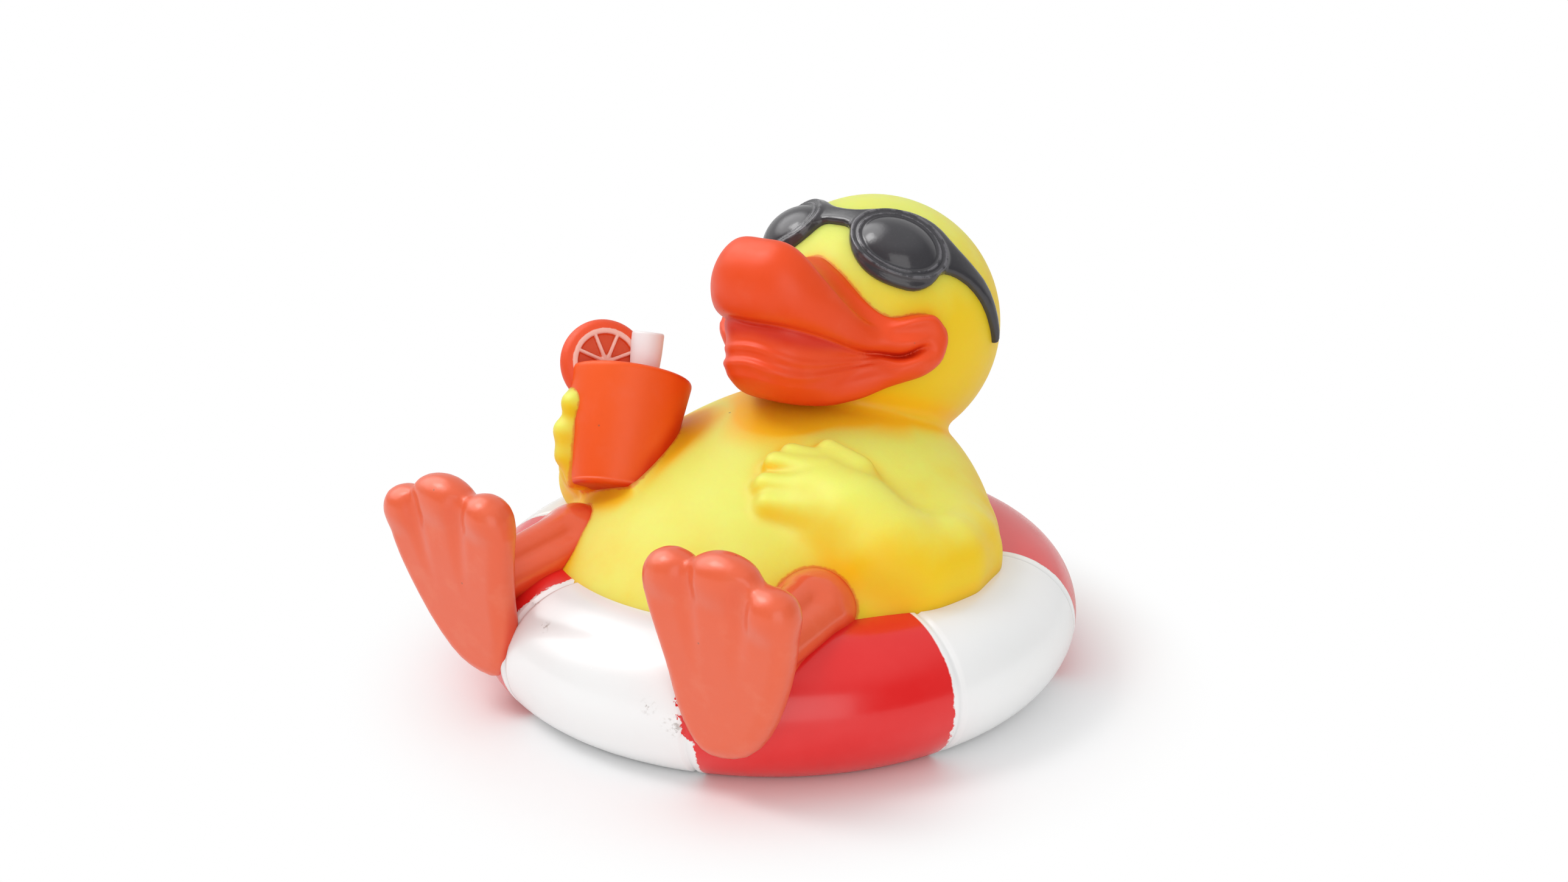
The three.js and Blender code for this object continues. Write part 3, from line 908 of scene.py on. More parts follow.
@dataclass
class Head:
    """The head's ball and its own frame: across, forward along the gaze, and up."""

    middle: Place = (0.0, 28.8, 51.2)
    radius: float = 22.1
    lean: float = 28.0

    def local(self, points: Array) -> Array:
        """Points as across, forward and up from the head's middle."""
        turn = math.radians(self.lean)
        forward = np.array([0, -math.cos(turn), math.sin(turn)])
        rise = np.array([0, math.sin(turn), math.cos(turn)])
        offset = points - np.array(self.middle)
        return np.stack([offset[:, 0], offset @ forward, offset @ rise], -1)

    def field(self, points: Array) -> Array:
        """Distance to the ball."""
        return np.linalg.norm(points - np.array(self.middle), axis=-1) - self.radius

    def spread(self, local: Array) -> Array:
        """Flat map of the left half of the head: arc lengths across and up."""
        size = np.linalg.norm(local, axis=-1)
        pitch = np.arcsin(np.clip(local[:, 2] / np.maximum(size, 1e-6), -1, 1))
        yaw = np.abs(np.arctan2(local[:, 0], local[:, 1]))
        return np.stack([yaw * np.cos(pitch), pitch], -1) * self.radius

    def mapped(self, angles: list[tuple[float, float]]) -> list[tuple[float, float]]:
        """Yaw and pitch pairs in degrees as places on that flat map."""
        made = []
        for yaw, pitch in angles:
            rise = math.radians(pitch)
            made.append((math.radians(yaw) * math.cos(rise) * self.radius, rise * self.radius))
        return made


class Band:
    """A closed band on the head whose section changes with the yaw, the same on both sides."""

    step = 0.25
    rounds = 3
    fine_reach = 2.5

    def __init__(self, sections: dict[float, list[tuple[float, float]]], inside: float) -> None:
        """Draw the sections out finely.

        Args:
            sections: by yaw in degrees, corners as distance from the head's axis and height.
            inside: share of the head's radius at which the band is closed under the skin.
        """
        yaws = sorted(sections)
        nets = np.array([sections[yaw] for yaw in yaws], float)
        nets = np.concatenate([nets[:, :1] * inside, nets, nets[:, -1:] * inside], 1)
        at = [-yaw for yaw in reversed(yaws[1:])] + yaws
        both = np.concatenate([nets[:0:-1], nets])
        self.end = yaws[-1]
        fine = np.arange(0, self.end + self.step, self.step)
        flat = both.reshape(len(both), -1)
        drawn = [SmoothCurve(list(zip(at, column)))(fine) for column in flat.T]
        self.rough = np.stack(drawn, -1).reshape(len(fine), -1, 2)
        self.smooth = self.rough
        for _ in range(self.rounds):
            self.smooth = corners_cut(self.smooth, 1)

    def section(self, place: Array, turn: Array, table: Array) -> Array:
        """Distance to the section at each point's own yaw.

        Args:
            place: distance from the axis and height of each point.
            turn: each point's yaw in steps of the table.
            table: corners of the sections.

        Returns:
            Distances, negative inside.
        """
        row = turn.astype(int)
        share = (turn - row)[:, None]
        nearest = np.full(len(place), np.inf)
        inside = np.zeros(len(place), bool)
        one = table[row, -1] * (1 - share) + table[row + 1, -1] * share
        for k in range(table.shape[1]):
            two = table[row, k] * (1 - share) + table[row + 1, k] * share
            edge, offset = two - one, place - one
            along = np.clip(np.sum(offset * edge, -1) / np.maximum(np.sum(edge**2, -1), 1e-9), 0, 1)
            nearest = np.minimum(nearest, np.sum((offset - along[:, None] * edge) ** 2, -1))
            crosses = (place[:, 1] < one[:, 1]) != (place[:, 1] < two[:, 1])
            rise = np.where(crosses, edge[:, 1], 1.0)
            inside ^= crosses & (offset[:, 0] < offset[:, 1] * edge[:, 0] / rise)
            one = two
        return np.where(inside, -1, 1) * np.sqrt(nearest)

    def distance(self, local: Array) -> Array:
        """Distance to the band from points in the head's frame."""
        yaw = np.degrees(np.abs(np.arctan2(local[:, 0], local[:, 1])))
        place = np.stack([np.hypot(local[:, 0], local[:, 1]), local[:, 2]], -1)
        turn = np.clip(yaw, 0, self.end - 1e-3) / self.step
        made = self.section(place, turn, self.rough)
        near = np.abs(made) < self.fine_reach
        made[near] = self.section(place[near], turn[near], self.smooth)
        beyond = np.radians(np.maximum(yaw - self.end, 0)) * place[:, 0]
        return np.where(beyond > 0, np.hypot(np.maximum(made, 0), beyond), made)


# Sections of the bill: root, spoon, ridge, wall of the lip, crease, tongue, lower lip, two folds, chin, root.
BILL_SECTIONS = {
    0: [(21.6, 5.5), (26.5, 2.6), (33.0, 1.6), (37.2, 3.8), (39.6, 1.2), (40.1, -2.8), (38.6, -7.0),
        (36.2, -9.4), (33.4, -9.4), (34.0, -10.4), (32.6, -12.4), (33.2, -13.5), (32.0, -14.7),
        (32.8, -16.0), (31.7, -17.0), (31.0, -18.4), (26.8, -20.2), (21.3, -19.8), (15.5, -16.0)],
    8: [(21.9, 4.4), (26.3, 1.9), (32.6, 1.2), (36.8, 3.4), (39.1, 1.0), (39.6, -2.8), (38.1, -6.9),
        (35.8, -9.2), (33.2, -9.2), (33.6, -10.2), (32.0, -12.7), (32.5, -13.9), (31.4, -15.1),
        (32.1, -16.4), (31.0, -17.4), (30.1, -18.5), (25.9, -20.1), (21.0, -19.6), (15.6, -15.9)],
    16: [(22.1, 2.7), (25.6, -0.4), (30.2, -1.4), (34.2, 0.1), (35.6, -1.8), (36.0, -4.3), (34.8, -7.2),
         (33.0, -8.8), (30.6, -9.0), (31.0, -10.0), (29.2, -12.6), (29.5, -13.6), (28.4, -14.7),
         (28.9, -15.8), (27.9, -16.6), (27.2, -17.7), (23.8, -19.5), (20.2, -18.9), (15.9, -15.7)],
    24: [(22.3, 0.5), (23.9, -2.0), (26.2, -3.6), (28.6, -2.9), (29.7, -4.2), (29.8, -5.8), (29.0, -7.6),
         (27.7, -8.6), (25.6, -8.8), (25.9, -9.6), (24.6, -10.9), (24.8, -11.7), (24.0, -12.4),
         (24.6, -13.3), (24.0, -14.3), (23.9, -16.0), (22.4, -18.3), (19.5, -18.1), (16.4, -15.2)],
    32: [(22.3, -1.3), (22.8, -2.8), (23.4, -3.9), (24.2, -4.3), (24.7, -5.3), (24.8, -6.5), (24.4, -7.6),
         (23.5, -8.3), (21.9, -8.6), (22.4, -9.1), (22.1, -9.6), (22.5, -10.1), (22.1, -10.7),
         (22.7, -11.4), (22.4, -12.3), (22.8, -14.0), (21.7, -16.6), (19.6, -16.8), (17.1, -14.3)],
    40: [(22.3, -1.8), (23.0, -2.6), (23.5, -3.5), (23.5, -4.4), (23.7, -5.3), (23.8, -6.3), (23.3, -7.1),
         (22.6, -7.7), (21.4, -8.0), (22.2, -8.4), (22.6, -8.8), (22.9, -9.2), (22.8, -9.6),
         (23.1, -10.0), (22.8, -10.9), (22.9, -12.3), (21.7, -14.7), (19.8, -14.9), (18.1, -13.2)],
    48: [(22.3, -0.4), (24.2, -0.8), (25.2, -1.8), (24.4, -3.2), (24.6, -4.4), (25.0, -5.4), (24.3, -6.5),
         (23.2, -7.1), (21.7, -7.4), (23.0, -7.8), (23.9, -8.3), (24.4, -8.8), (24.5, -9.3), (24.4, -9.9),
         (24.0, -10.7), (23.4, -11.6), (22.0, -12.5), (20.5, -12.3), (19.1, -11.6)],
    51: [(22.3, 0.0), (24.4, -0.2), (25.5, -1.1), (24.8, -2.6), (24.9, -3.8), (25.2, -4.8), (24.5, -5.7),
         (23.6, -6.2), (22.3, -6.6), (23.6, -7.1), (24.5, -7.6), (25.0, -8.2), (25.0, -8.8), (24.8, -9.4),
         (24.3, -10.2), (23.6, -11.0), (22.3, -11.7), (20.9, -11.6), (19.4, -11.0)],
    54: [(22.3, 0.2), (24.4, 0.3), (25.6, -0.6), (25.2, -2.0), (25.1, -3.0), (25.2, -3.9), (24.9, -4.6),
         (24.4, -5.0), (23.8, -5.5), (24.5, -6.2), (25.0, -6.9), (25.4, -7.5), (25.3, -8.1), (25.1, -8.8),
         (24.6, -9.6), (23.8, -10.4), (22.5, -10.9), (21.1, -10.9), (19.7, -10.4)],
    60: [(22.3, -0.5), (24.0, -0.6), (24.9, -1.4), (25.3, -2.4), (25.4, -3.3), (25.4, -4.1), (25.4, -4.7),
         (25.4, -5.2), (25.4, -5.7), (25.4, -6.1), (25.3, -6.6), (25.1, -7.1), (24.9, -7.6), (24.5, -8.1),
         (24.0, -8.5), (23.3, -8.9), (22.4, -9.2), (21.5, -9.3), (20.4, -9.0)],
    64: [(22.2, -1.9), (23.2, -2.1), (23.7, -2.7), (24.0, -3.3), (24.1, -3.8), (24.1, -4.3), (24.1, -4.7),
         (24.1, -5.0), (24.0, -5.3), (24.0, -5.6), (23.9, -5.9), (23.7, -6.2), (23.5, -6.5), (23.2, -6.7),
         (22.9, -6.9), (22.5, -7.1), (22.0, -7.3), (21.6, -7.4), (21.0, -7.4)],
    66.4: [(21.8, -4.6), (21.9, -4.65), (21.95, -4.7), (22.0, -4.75), (22.0, -4.8), (22.0, -4.9),
           (22.0, -5.0), (22.0, -5.1), (22.0, -5.15), (22.0, -5.2), (21.95, -5.25), (21.95, -5.3),
           (21.9, -5.35), (21.9, -5.4), (21.85, -5.45), (21.8, -5.5), (21.75, -5.55), (21.7, -5.6),
           (21.6, -5.6)],
}  # fmt: skip


@dataclass
class Bill:
    """The bill: a spoon over a folded lower lip, with a smile that ends in a roll on each cheek."""

    head: Head
    root_share: float = 0.87
    mouth_end: float = 52.0
    mouth_fade: float = 12.0
    mouth_dark: float = 0.75

    def __post_init__(self) -> None:
        """Draw the sections out."""
        self.band = Band(BILL_SECTIONS, self.root_share)

    def field(self, points: Array) -> Array:
        """Distance to the whole bill."""
        return self.band.distance(self.head.local(points))

    def mouth(self, points: Array) -> Array:
        """How much darker each point is in the mouth, from 0 to 1: partly the mouth's deep red paint, partly
        painted shade, most just under the upper bill.
        """
        across, forward, up = self.head.local(points).T
        yaw = np.degrees(np.abs(np.arctan2(across, forward)))
        roof = SmoothCurve([(0, -8.9), (16, -8.6), (32, -8.2), (46, -7.2), (56, -4.8)])(yaw)
        lip = SmoothCurve([(0, -13.0), (8, -13.4), (16, -13.0), (24, -11.2), (32, -9.8), (46, -8.2)])(yaw)
        below_roof = np.clip((roof - up) / 0.9, 0, 1)
        above_lip = np.clip((up - lip) / 2.6 + 0.1, 0, 1)
        before_end = np.clip((self.mouth_end - yaw) / self.mouth_fade, 0, 1)
        return self.mouth_dark * below_roof * above_lip * before_end


@dataclass
class Sunglasses:
    """Sunglasses moulded on the head: a frame, two domed lenses in raised rims, and temples."""

    head: Head
    proud: float = 1.25
    inner_rim: float = 0.38
    outer_rim: float = 0.5
    lens_sunk: float = 0.6
    lens_dome: float = 2.3
    edge_blend: float = 1.1
    buried: float = 1.4
    lens_yaw: float = 34.5
    lens_pitch: float = 28.0
    lens_turn: float = -13.0
    half_width: float = 7.2
    half_height: float = 5.5

    def lens_place(self, local: Array) -> tuple[Array, Array]:
        """Where points lie on the lens.

        Args:
            local: points in the head's frame.

        Returns:
            How far out from the lens's middle, where 1 is its rim, and the distance to the rim in mm.
        """
        yaw, pitch = math.radians(self.lens_yaw), math.radians(self.lens_pitch)
        out = np.array([math.sin(yaw) * math.cos(pitch), math.cos(yaw) * math.cos(pitch), math.sin(pitch)])
        side = np.array([math.cos(yaw), -math.sin(yaw), 0.0])
        rise = np.cross(out, side)
        if rise[2] < 0:
            rise = -rise
        mirrored = local.copy()
        mirrored[:, 0] = np.abs(local[:, 0])
        size = np.linalg.norm(mirrored, axis=-1, keepdims=True)
        flat = mirrored / np.maximum(size, 1e-6) * self.head.radius
        u, v = flat @ side, flat @ rise
        turn = math.radians(self.lens_turn)
        a = u * math.cos(turn) + v * math.sin(turn)
        b = -u * math.sin(turn) + v * math.cos(turn)
        place = np.sqrt((a / self.half_width) ** 2 + (b / self.half_height) ** 2)
        return place, (place - 1) * 0.5 * (self.half_width + self.half_height)

    def relief(self, local: Array) -> tuple[Array, Array]:
        """Height of the front above the head, and how much of it is a raised rim.

        Args:
            local: points in the head's frame.

        Returns:
            Heights in mm, and rim shares from 0 to 1.
        """
        place, rim = self.lens_place(local)
        inner_roll = np.exp(-(((rim + 0.5) / 0.3) ** 2))
        outer_roll = np.exp(-(((rim - 0.45) / 0.42) ** 2))
        dome = np.clip(1 - place**2, 0, 1) ** 0.8
        inner = 0.5 * (1 + np.tanh((-rim - 0.95) / 0.2))
        rolls = self.inner_rim * inner_roll + self.outer_rim * outer_roll
        height = self.proud * (1 - self.lens_sunk * inner) + rolls + self.lens_dome * dome * inner
        return height, np.maximum(inner_roll, outer_roll)

    def flat(self, local: Array) -> Array:
        """Distance to the frame's outline on the head's flat map."""
        corners = [
            (-6, 31.5), (0, 31.5), (6.5, 31.4), (9.2, 29), (11.5, 23.2), (15.1, 17.9), (19.9, 13.3),
            (24.6, 10.4), (30.2, 8.5), (36.7, 7.7), (44.5, 7.9), (49.3, 10.2), (53.5, 14.2), (56.6, 20.6),
            (64.1, 21.6), (74.5, 19.6), (85.7, 13.8), (96.5, 4.4), (100, 1.0), (101, 5.5), (94.3, 14.9),
            (85.5, 24.2), (73.8, 30.6), (64.3, 36.2), (55.1, 44.2), (45.5, 47.4), (34, 48.2), (20.1, 45.4),
            (10.8, 42), (4.1, 40.6), (-6, 40.6),
        ]  # fmt: skip
        outline = corners_cut(np.array(self.head.mapped(corners)), 0)
        return outline_distance(self.head.spread(local), outline)

    def field(self, points: Array) -> Array:
        """Distance to the sunglasses."""
        local = self.head.local(points)
        size = np.linalg.norm(local, axis=-1)
        height, _ = self.relief(local)
        shell = size - (self.head.radius + height)
        made = smooth_common(shell, self.flat(local), self.edge_blend)
        return np.maximum(made, (self.head.radius - self.buried) - size)


@dataclass
class Torso:
    """The duck's round body: an egg that leans back inside the ring."""

    middle: Place = (0.0, -12.2, 1.1)
    radii: Place = (42.1, 56.8, 31.35)
    lean: float = 36.4
    recess: float = 2.0
    ring_inside: float = 40.0
    hug_top: float = 22.0
    hug_fade: float = 2.0

    def field(self, points: Array) -> Array:
        """Distance to the egg, cut flat over the recess in the base and kept inside the ring."""
        turn = math.radians(self.lean)
        along = np.array([0, math.cos(turn), math.sin(turn)])
        through = np.array([0, -math.sin(turn), math.cos(turn)])
        offset = points - np.array(self.middle)
        local = np.stack([offset[:, 0], offset @ along, offset @ through], -1)
        egg = oval_distance(local, np.array(self.radii))
        round_way = np.linalg.norm(points[:, :2], axis=-1) - self.ring_inside
        low = np.clip((self.hug_top - points[:, 2]) / self.hug_fade, 0, 1)
        egg = np.where(low > 0, np.maximum(egg, round_way * low + egg * (1 - low)), egg)
        return np.maximum(egg, self.recess - points[:, 2])


@dataclass
class LeftArm:
    """The arm that rests on the belly, with four fingers and a thumb."""

    arm_blend: float = 3.0
    hand_blend: float = 0.9

    def arm(self, points: Array) -> Array:
        """Distance to the arm up to the wrist."""
        stations = [
            (27.0, 12.0, 24.0, 6.2),
            (31.2, 5.2, 23.9, 6.8),
            (32.7, -2.0, 24.8, 6.9),
            (30.8, -7.6, 24.8, 7.4),
            (27.0, -10.5, 27.5, 7.8),
            (21.4, -10.2, 31.4, 7.0),
            (17.0, -9.8, 33.6, 6.2),
        ]
        return limb_distance(points, stations, self.arm_blend)

    def hand(self, points: Array) -> Array:
        """Distance to the fingers and the thumb."""
        fingers = [
            ((15.2, -6.2, 37.6, 2.5), (9.2, -8.2, 39.2, 1.8)),
            ((15.6, -8.8, 37.2, 2.5), (8.3, -11.0, 38.2, 2.0)),
            ((16.4, -12.0, 35.2, 2.7), (9.1, -14.5, 35.7, 2.2)),
            ((17.4, -14.3, 33.2, 2.6), (11.2, -16.7, 33.7, 2.2)),
            ((19.0, -4.6, 37.2, 2.8), (13.6, -4.4, 39.3, 2.1)),
        ]
        return rods_distance(points, fingers, self.hand_blend)


@dataclass
class RightArm:
    """The arm that holds the drink from behind."""

    arm_blend: float = 3.0
    hand_blend: float = 2.4
    wrist_blend: float = 2.0

    def field(self, points: Array) -> Array:
        """Distance to the arm and its fingers."""
        stations = [
            (-30.0, 12.0, 24.5, 7.0),
            (-34.5, 4.0, 24.0, 7.6),
            (-34.5, -4.0, 25.0, 7.0),
            (-30.3, -11.1, 30.2, 5.0),
            (-29.2, -12.7, 37.0, 4.0),
        ]
        fingers = [
            ((-30.3, -11.0, 42.4, 2.4), (-28.0, -17.8, 43.4, 1.9)),
            ((-30.2, -11.8, 38.6, 2.8), (-28.5, -18.9, 38.8, 2.3)),
            ((-29.7, -12.7, 34.6, 2.8), (-28.0, -19.4, 34.8, 2.3)),
            ((-28.5, -12.8, 31.1, 2.5), (-26.2, -19.0, 31.3, 2.0)),
            ((-29.8, -6.4, 36.6, 2.5), (-27.2, -1.9, 37.2, 1.9)),
        ]
        arm = limb_distance(points, stations, self.arm_blend)
        return smooth_union(arm, rods_distance(points, fingers, self.hand_blend), self.wrist_blend)


@dataclass
class Squeaker:
    """The hole in the base that the squeaker is pressed into."""

    hole_radius: float = 5.3
    hole_top: float = 9.5

    def cut(self, made: Array, points: Array) -> Array:
        """Take the hole out of a body's distances."""
        round_way = np.linalg.norm(points[:, :2], axis=-1) - self.hole_radius
        hole = np.maximum(round_way, points[:, 2] - self.hole_top)
        return smooth_cut(made, hole, 0.4)


@dataclass
class Leg:
    """A leg and its webbed foot, left or right, drawn for the left side."""

    side: int
    sole_y: float = -48.2
    half_thickness: float = 2.6
    edge: float = 2.3
    web_inset: float = 0.35
    heel_top: float = 30.0
    heel_slope: float = 0.36
    toe_depth: float = 3.1
    flutes: int = 5
    flute_off: float = 3.3
    ball: Place = (23.8, -22.9, 21.5)
    ball_radius: float = 6.5

    def __post_init__(self) -> None:
        """Smooth the foot's outline, whose corners are places across and up."""
        corners = [
            (12.8, 33.3), (13.4, 30.3), (14.5, 25.5), (15.5, 20.6), (15.9, 16.6), (16.4, 13.2), (17.9, 8.9),
            (20.6, 6.2), (25.0, 6.5), (29.0, 8.5), (32.7, 13.3), (35.9, 20.1), (38.0, 26.3), (38.9, 31.9),
            (38.1, 35.4), (36.2, 36.5), (33.3, 36.8), (32.7, 37.5), (31.4, 39.1), (29.4, 39.9), (25.9, 39.9),
            (22.9, 38.8), (21.4, 37.9), (19.9, 38.5), (17.1, 38.5), (14.3, 36.7),
        ]  # fmt: skip
        self.outline = corners_cut(np.array(corners), 0)

    def foot(self, points: Array) -> Array:
        """Distance to the foot: a flat web whose heel leans in, with three round toes."""
        across, along, up = points.T
        middle = self.sole_y + self.heel_slope * np.logaddexp(0, (self.heel_top - up) / 2)
        flat = outline_distance(points[:, [0, 2]], self.outline) + self.edge + self.web_inset
        level = np.abs(along - middle) - self.half_thickness + self.edge
        made = np.minimum(np.maximum(flat, level), 0) - self.edge
        made += np.hypot(np.maximum(flat, 0), np.maximum(level, 0))
        for x, z, wide, tall in ((17.3, 35.3, 3.4, 3.1), (26.2, 36.3, 4.6, 3.4), (34.8, 33.2, 3.6, 3.2)):
            offset = points - np.array([x, self.sole_y - 0.2, z])
            made = smooth_union(made, oval_distance(offset, np.array([wide, self.toe_depth, tall])), 2.0)
        for top, low in (((21.7, 37.0), (22.6, 21.0)), ((31.4, 35.9), (29.0, 20.0))):
            start = np.array([top[0], self.sole_y - 3.4, top[1]])
            end = np.array([low[0], self.sole_y - 2.9, low[1]])
            made = smooth_cut(made, cone_distance(points, start, end, 1.1, 0.3), 1.8)
        return made

    def leg(self, points: Array) -> Array:
        """Distance to the leg: flutes that run from the ball to the foot."""
        rods = []
        for turn in np.radians(20 + np.arange(self.flutes) * 360 / self.flutes):
            off = self.flute_off * np.array([math.cos(turn), 0.0, math.sin(turn)])
            start = np.array([23.8, -25.0, 21.2]) + off
            end = np.array([25.2, -43.6, 19.8]) + off * 0.8
            rods.append(((*start, 3.4), (*end, 2.7)))
        ball = np.linalg.norm(points - np.array(self.ball), axis=-1) - self.ball_radius
        return smooth_union(rods_distance(points, rods, 0.7), ball, 0.9)

    def field(self, points: Array) -> Array:
        """Distance to leg and foot."""
        mirrored = points * np.array([self.side, 1, 1])
        return smooth_union(self.leg(mirrored), self.foot(mirrored), 1.6)


@dataclass
class Cup:
    """The cup of drink, with a straw and an orange slice in it."""

    foot: Place = (-20.7, -16.5, 29.1)
    lean: Place = (-0.192, 0.476, 0.851)
    height: float = 19.7
    rim_radius: float = 10.3
    foot_radius: float = 7.5
    wall: float = 1.1
    skin: float = 1.3
    drop: float = 1.0
    straw_radius: float = 2.6
    straw_foot: Place = (-22.1, -6.9, 45.2)
    straw_reach: float = 8.4
    slice_middle: Place = (-27.8, -10.0, 48.3)
    slice_radius: float = 7.4
    slice_thickness: float = 3.5
    slice_facing: Place = (0.77, -0.50, 0.39)
    segments: int = 8
    rind_share: float = 0.14
    web_proud: float = 0.25
    flesh_sunk: float = 0.55
    straw_lean: Place = (-0.08, 0.3, 0.95)
    straw_bare: float = 2.4

    def placed(self, points: Array, origin: Place, up: Place) -> Array:
        """Stand points that were made on the Z axis at an origin, along a direction."""
        rise = np.array(up) / np.linalg.norm(up)
        side = np.cross(np.array([0.0, 1.0, 0.0]), rise)
        side /= np.linalg.norm(side)
        back = np.cross(rise, side)
        return np.array(origin) + points[:, :1] * side + points[:, 1:2] * back + points[:, 2:3] * rise

    def measured(self, points: Array) -> tuple[Array, Array]:
        """How far up the cup's axis points lie, and how far out from it."""
        rise = np.array(self.lean) / np.linalg.norm(self.lean)
        offset = points - np.array(self.foot)
        up = offset @ rise
        return up, np.linalg.norm(offset - up[:, None] * rise, axis=-1)

    def room_field(self, points: Array) -> Array:
        """Distance to the room over the drink, which the hand stays out of."""
        up, out = self.measured(points)
        below_drink = self.height - self.drop - 0.6
        return np.maximum(out - (self.rim_radius - 0.5 * self.wall), below_drink - up)

    def core_field(self, points: Array) -> Array:
        """Distance to the vinyl under the cup's paint."""
        return self.body_field(points) + self.skin

    def body_field(self, points: Array) -> Array:
        """Distance to the outside of the cup."""
        up, out = self.measured(points)
        radius = self.foot_radius + (self.rim_radius - self.foot_radius) * np.clip(up / self.height, 0, 1)
        return np.maximum(out - radius, np.maximum(-up, up - self.height))

    def body(self) -> bpy.types.Object:
        """Make the cup."""
        inner = self.rim_radius - self.wall
        profile = softened(
            [
                (0.0, 0.0, 0.0),
                (self.foot_radius - 1.4, 0.0, 0.3),
                (self.foot_radius - 0.3, 0.15, 0.9),
                (self.foot_radius + 0.1, 1.4, 0.8),
                (0.5 * (self.foot_radius + self.rim_radius) + 0.12, 0.5 * self.height, 2.0),
                (self.rim_radius, self.height - 0.6, 0.5),
                (self.rim_radius - 0.35, self.height, 0.4),
                (inner, self.height - 0.1, 0.4),
                (inner - 0.1, self.height - self.drop, 0.5),
                (3.0, self.height - self.drop + 0.15, 0.5),
                (0.0, self.height - self.drop + 0.15, 0.0),
            ]
        )
        points, faces = turned(profile, 120)
        return mesh_piece("cup", self.placed(points, self.foot, self.lean), faces)

    def straw(self) -> bpy.types.Object:
        """Make the straw."""
        radius, reach = self.straw_radius, self.straw_reach
        profile = softened(
            [
                (0.0, -2.0, 0.0),
                (radius - 0.3, -2.0, 0.2),
                (radius - 0.3, 0.4, 0.4),
                (radius + 0.05, reach * 0.6, 1.0),
                (radius + 0.1, reach, 0.5),
                (radius - 0.8, reach, 0.3),
                (radius - 1.0, reach - 0.5, 0.3),
                (0.0, reach - 0.6, 0.0),
            ]
        )
        points, faces = turned(profile, 64)
        piece = mesh_piece("straw", self.placed(points, self.straw_foot, self.straw_lean), faces)
        store(piece, "bare", np.clip(1.2 - (points[:, 2] - self.straw_bare) / 1.2, 0, 1))
        return piece

    def slice(self, finish: bpy.types.Material) -> bpy.types.Object:
        """Make the orange slice with a node tree.

        Args:
            finish: its material.

        Returns:
            The piece.
        """
        form = Form("orange_slice")
        radius = form.size("Radius", self.slice_radius)
        thickness = form.size("Thickness", self.slice_thickness)
        pith_out = form.size("Pith Outside", 5.8)
        pith_in = form.size("Pith Inside", 4.8)
        segments = form.numbered("Segments", self.segments)
        kept, turned_share, section_share = form.sheet(240, 110)
        angle = turned_share * (2 * math.pi)
        travel = section_share + 0.5
        face_share = (1 - self.rind_share) / 2
        front = (travel / face_share).least(1.0)
        back = ((1 - travel) / face_share).least(1.0)
        turn = ((travel - face_share) / self.rind_share).least(1.0).most(0.0) * math.pi
        half = thickness * 0.5
        out = (radius - half) * front.least(back) + half * form.math("SINE", turn)
        level = half * form.math("COSINE", turn)
        spoke = abs(form.math("SINE", angle * segments * 0.5)) * out * 2 / segments
        web = form.ramp(spoke, 0.42, 0.16) * form.ramp(out, 5.2, 4.9)
        ring = form.ramp(out - pith_in, -0.15, 0.15) * form.ramp(out - pith_out, 0.15, -0.15)
        pale = web.most(ring)
        flesh = form.ramp(out - pith_in, 0.1, -0.2) * (1 - web)
        facing = form.ramp(travel, 0.46, 0.4)
        level = level + facing * (self.web_proud * pale - self.flesh_sunk * flesh)
        rind = form.ramp(out - pith_out, -0.1, 0.1).most(1 - facing)
        for name, value in (("pith", pale * facing), ("rind", rind)):
            fed = {"Geometry": kept.outputs[0], "Name": name, "Value": value}
            kept = form.add("GeometryNodeStoreNamedAttribute", {"data_type": "FLOAT"}, **fed)
        spot = (out * form.math("COSINE", angle), out * form.math("SINE", angle), level)
        piece = form.built("orange_slice", form.wrapped(kept, spot, 0.0001), finish)
        placed = self.placed(corners_of(piece.data), self.slice_middle, self.slice_facing)
        piece.data.vertices.foreach_set("co", ((placed + FRAME_SHIFT) * MILLIMETRE).ravel())
        piece.data.update()
        return piece


@dataclass
class SwimRing:
    """The swim ring: an oval tube with fine moulded lines beside its stripes."""

    ring_radius: float = 37.5
    half_width: float = 12.5
    half_height: float = 11.4
    flat: float = 1.5
    line_depth: float = 0.4
    line_offset: float = 1.7
    line_reach: float = 0.8

    def field(self, points: Array) -> Array:
        """Distance to the tube."""
        out = np.linalg.norm(points[:, :2], axis=-1) - self.ring_radius
        level = points[:, 2] - (self.half_height - self.flat)
        return oval_distance(np.stack([out, level], -1), np.array([self.half_width, self.half_height]))

    def made(self, finish: bpy.types.Material) -> bpy.types.Object:
        """Make the ring with a node tree.

        Args:
            finish: its material.

        Returns:
            The piece.
        """
        form = Form("swim_ring")
        big = form.size("Ring Radius", self.ring_radius * MILLIMETRE)
        wide = form.size("Tube Half Width", self.half_width * MILLIMETRE)
        tall = form.size("Tube Half Height", self.half_height * MILLIMETRE)
        flat = form.size("Flat Depth", self.flat * MILLIMETRE)
        deep = form.size("Line Depth", self.line_depth * MILLIMETRE)
        beside = form.size("Line Angle", math.radians(self.line_offset))
        shift = form.size("Shift", float(FRAME_SHIFT[1]) * MILLIMETRE)
        sheet, turned_share, section_share = form.sheet(721, 97)
        angle = turned_share * (2 * math.pi)
        tube = section_share * (2 * math.pi)
        stripe = math.pi / STRIPES
        white_side = form.math("PINGPONG", abs(angle), stripe)
        distance = abs(white_side - (stripe / 2 - beside))
        line = form.ramp(distance, math.radians(self.line_reach), 0.0) * deep
        out = big + (wide - line) * form.math("COSINE", tube)
        level = (tall - flat + (tall - line) * form.math("SINE", tube)).most(0.0)
        spot = (out * form.math("SINE", angle), shift - out * form.math("COSINE", angle), level)
        return form.built("swim_ring", form.wrapped(sheet, spot, 1e-7), finish)


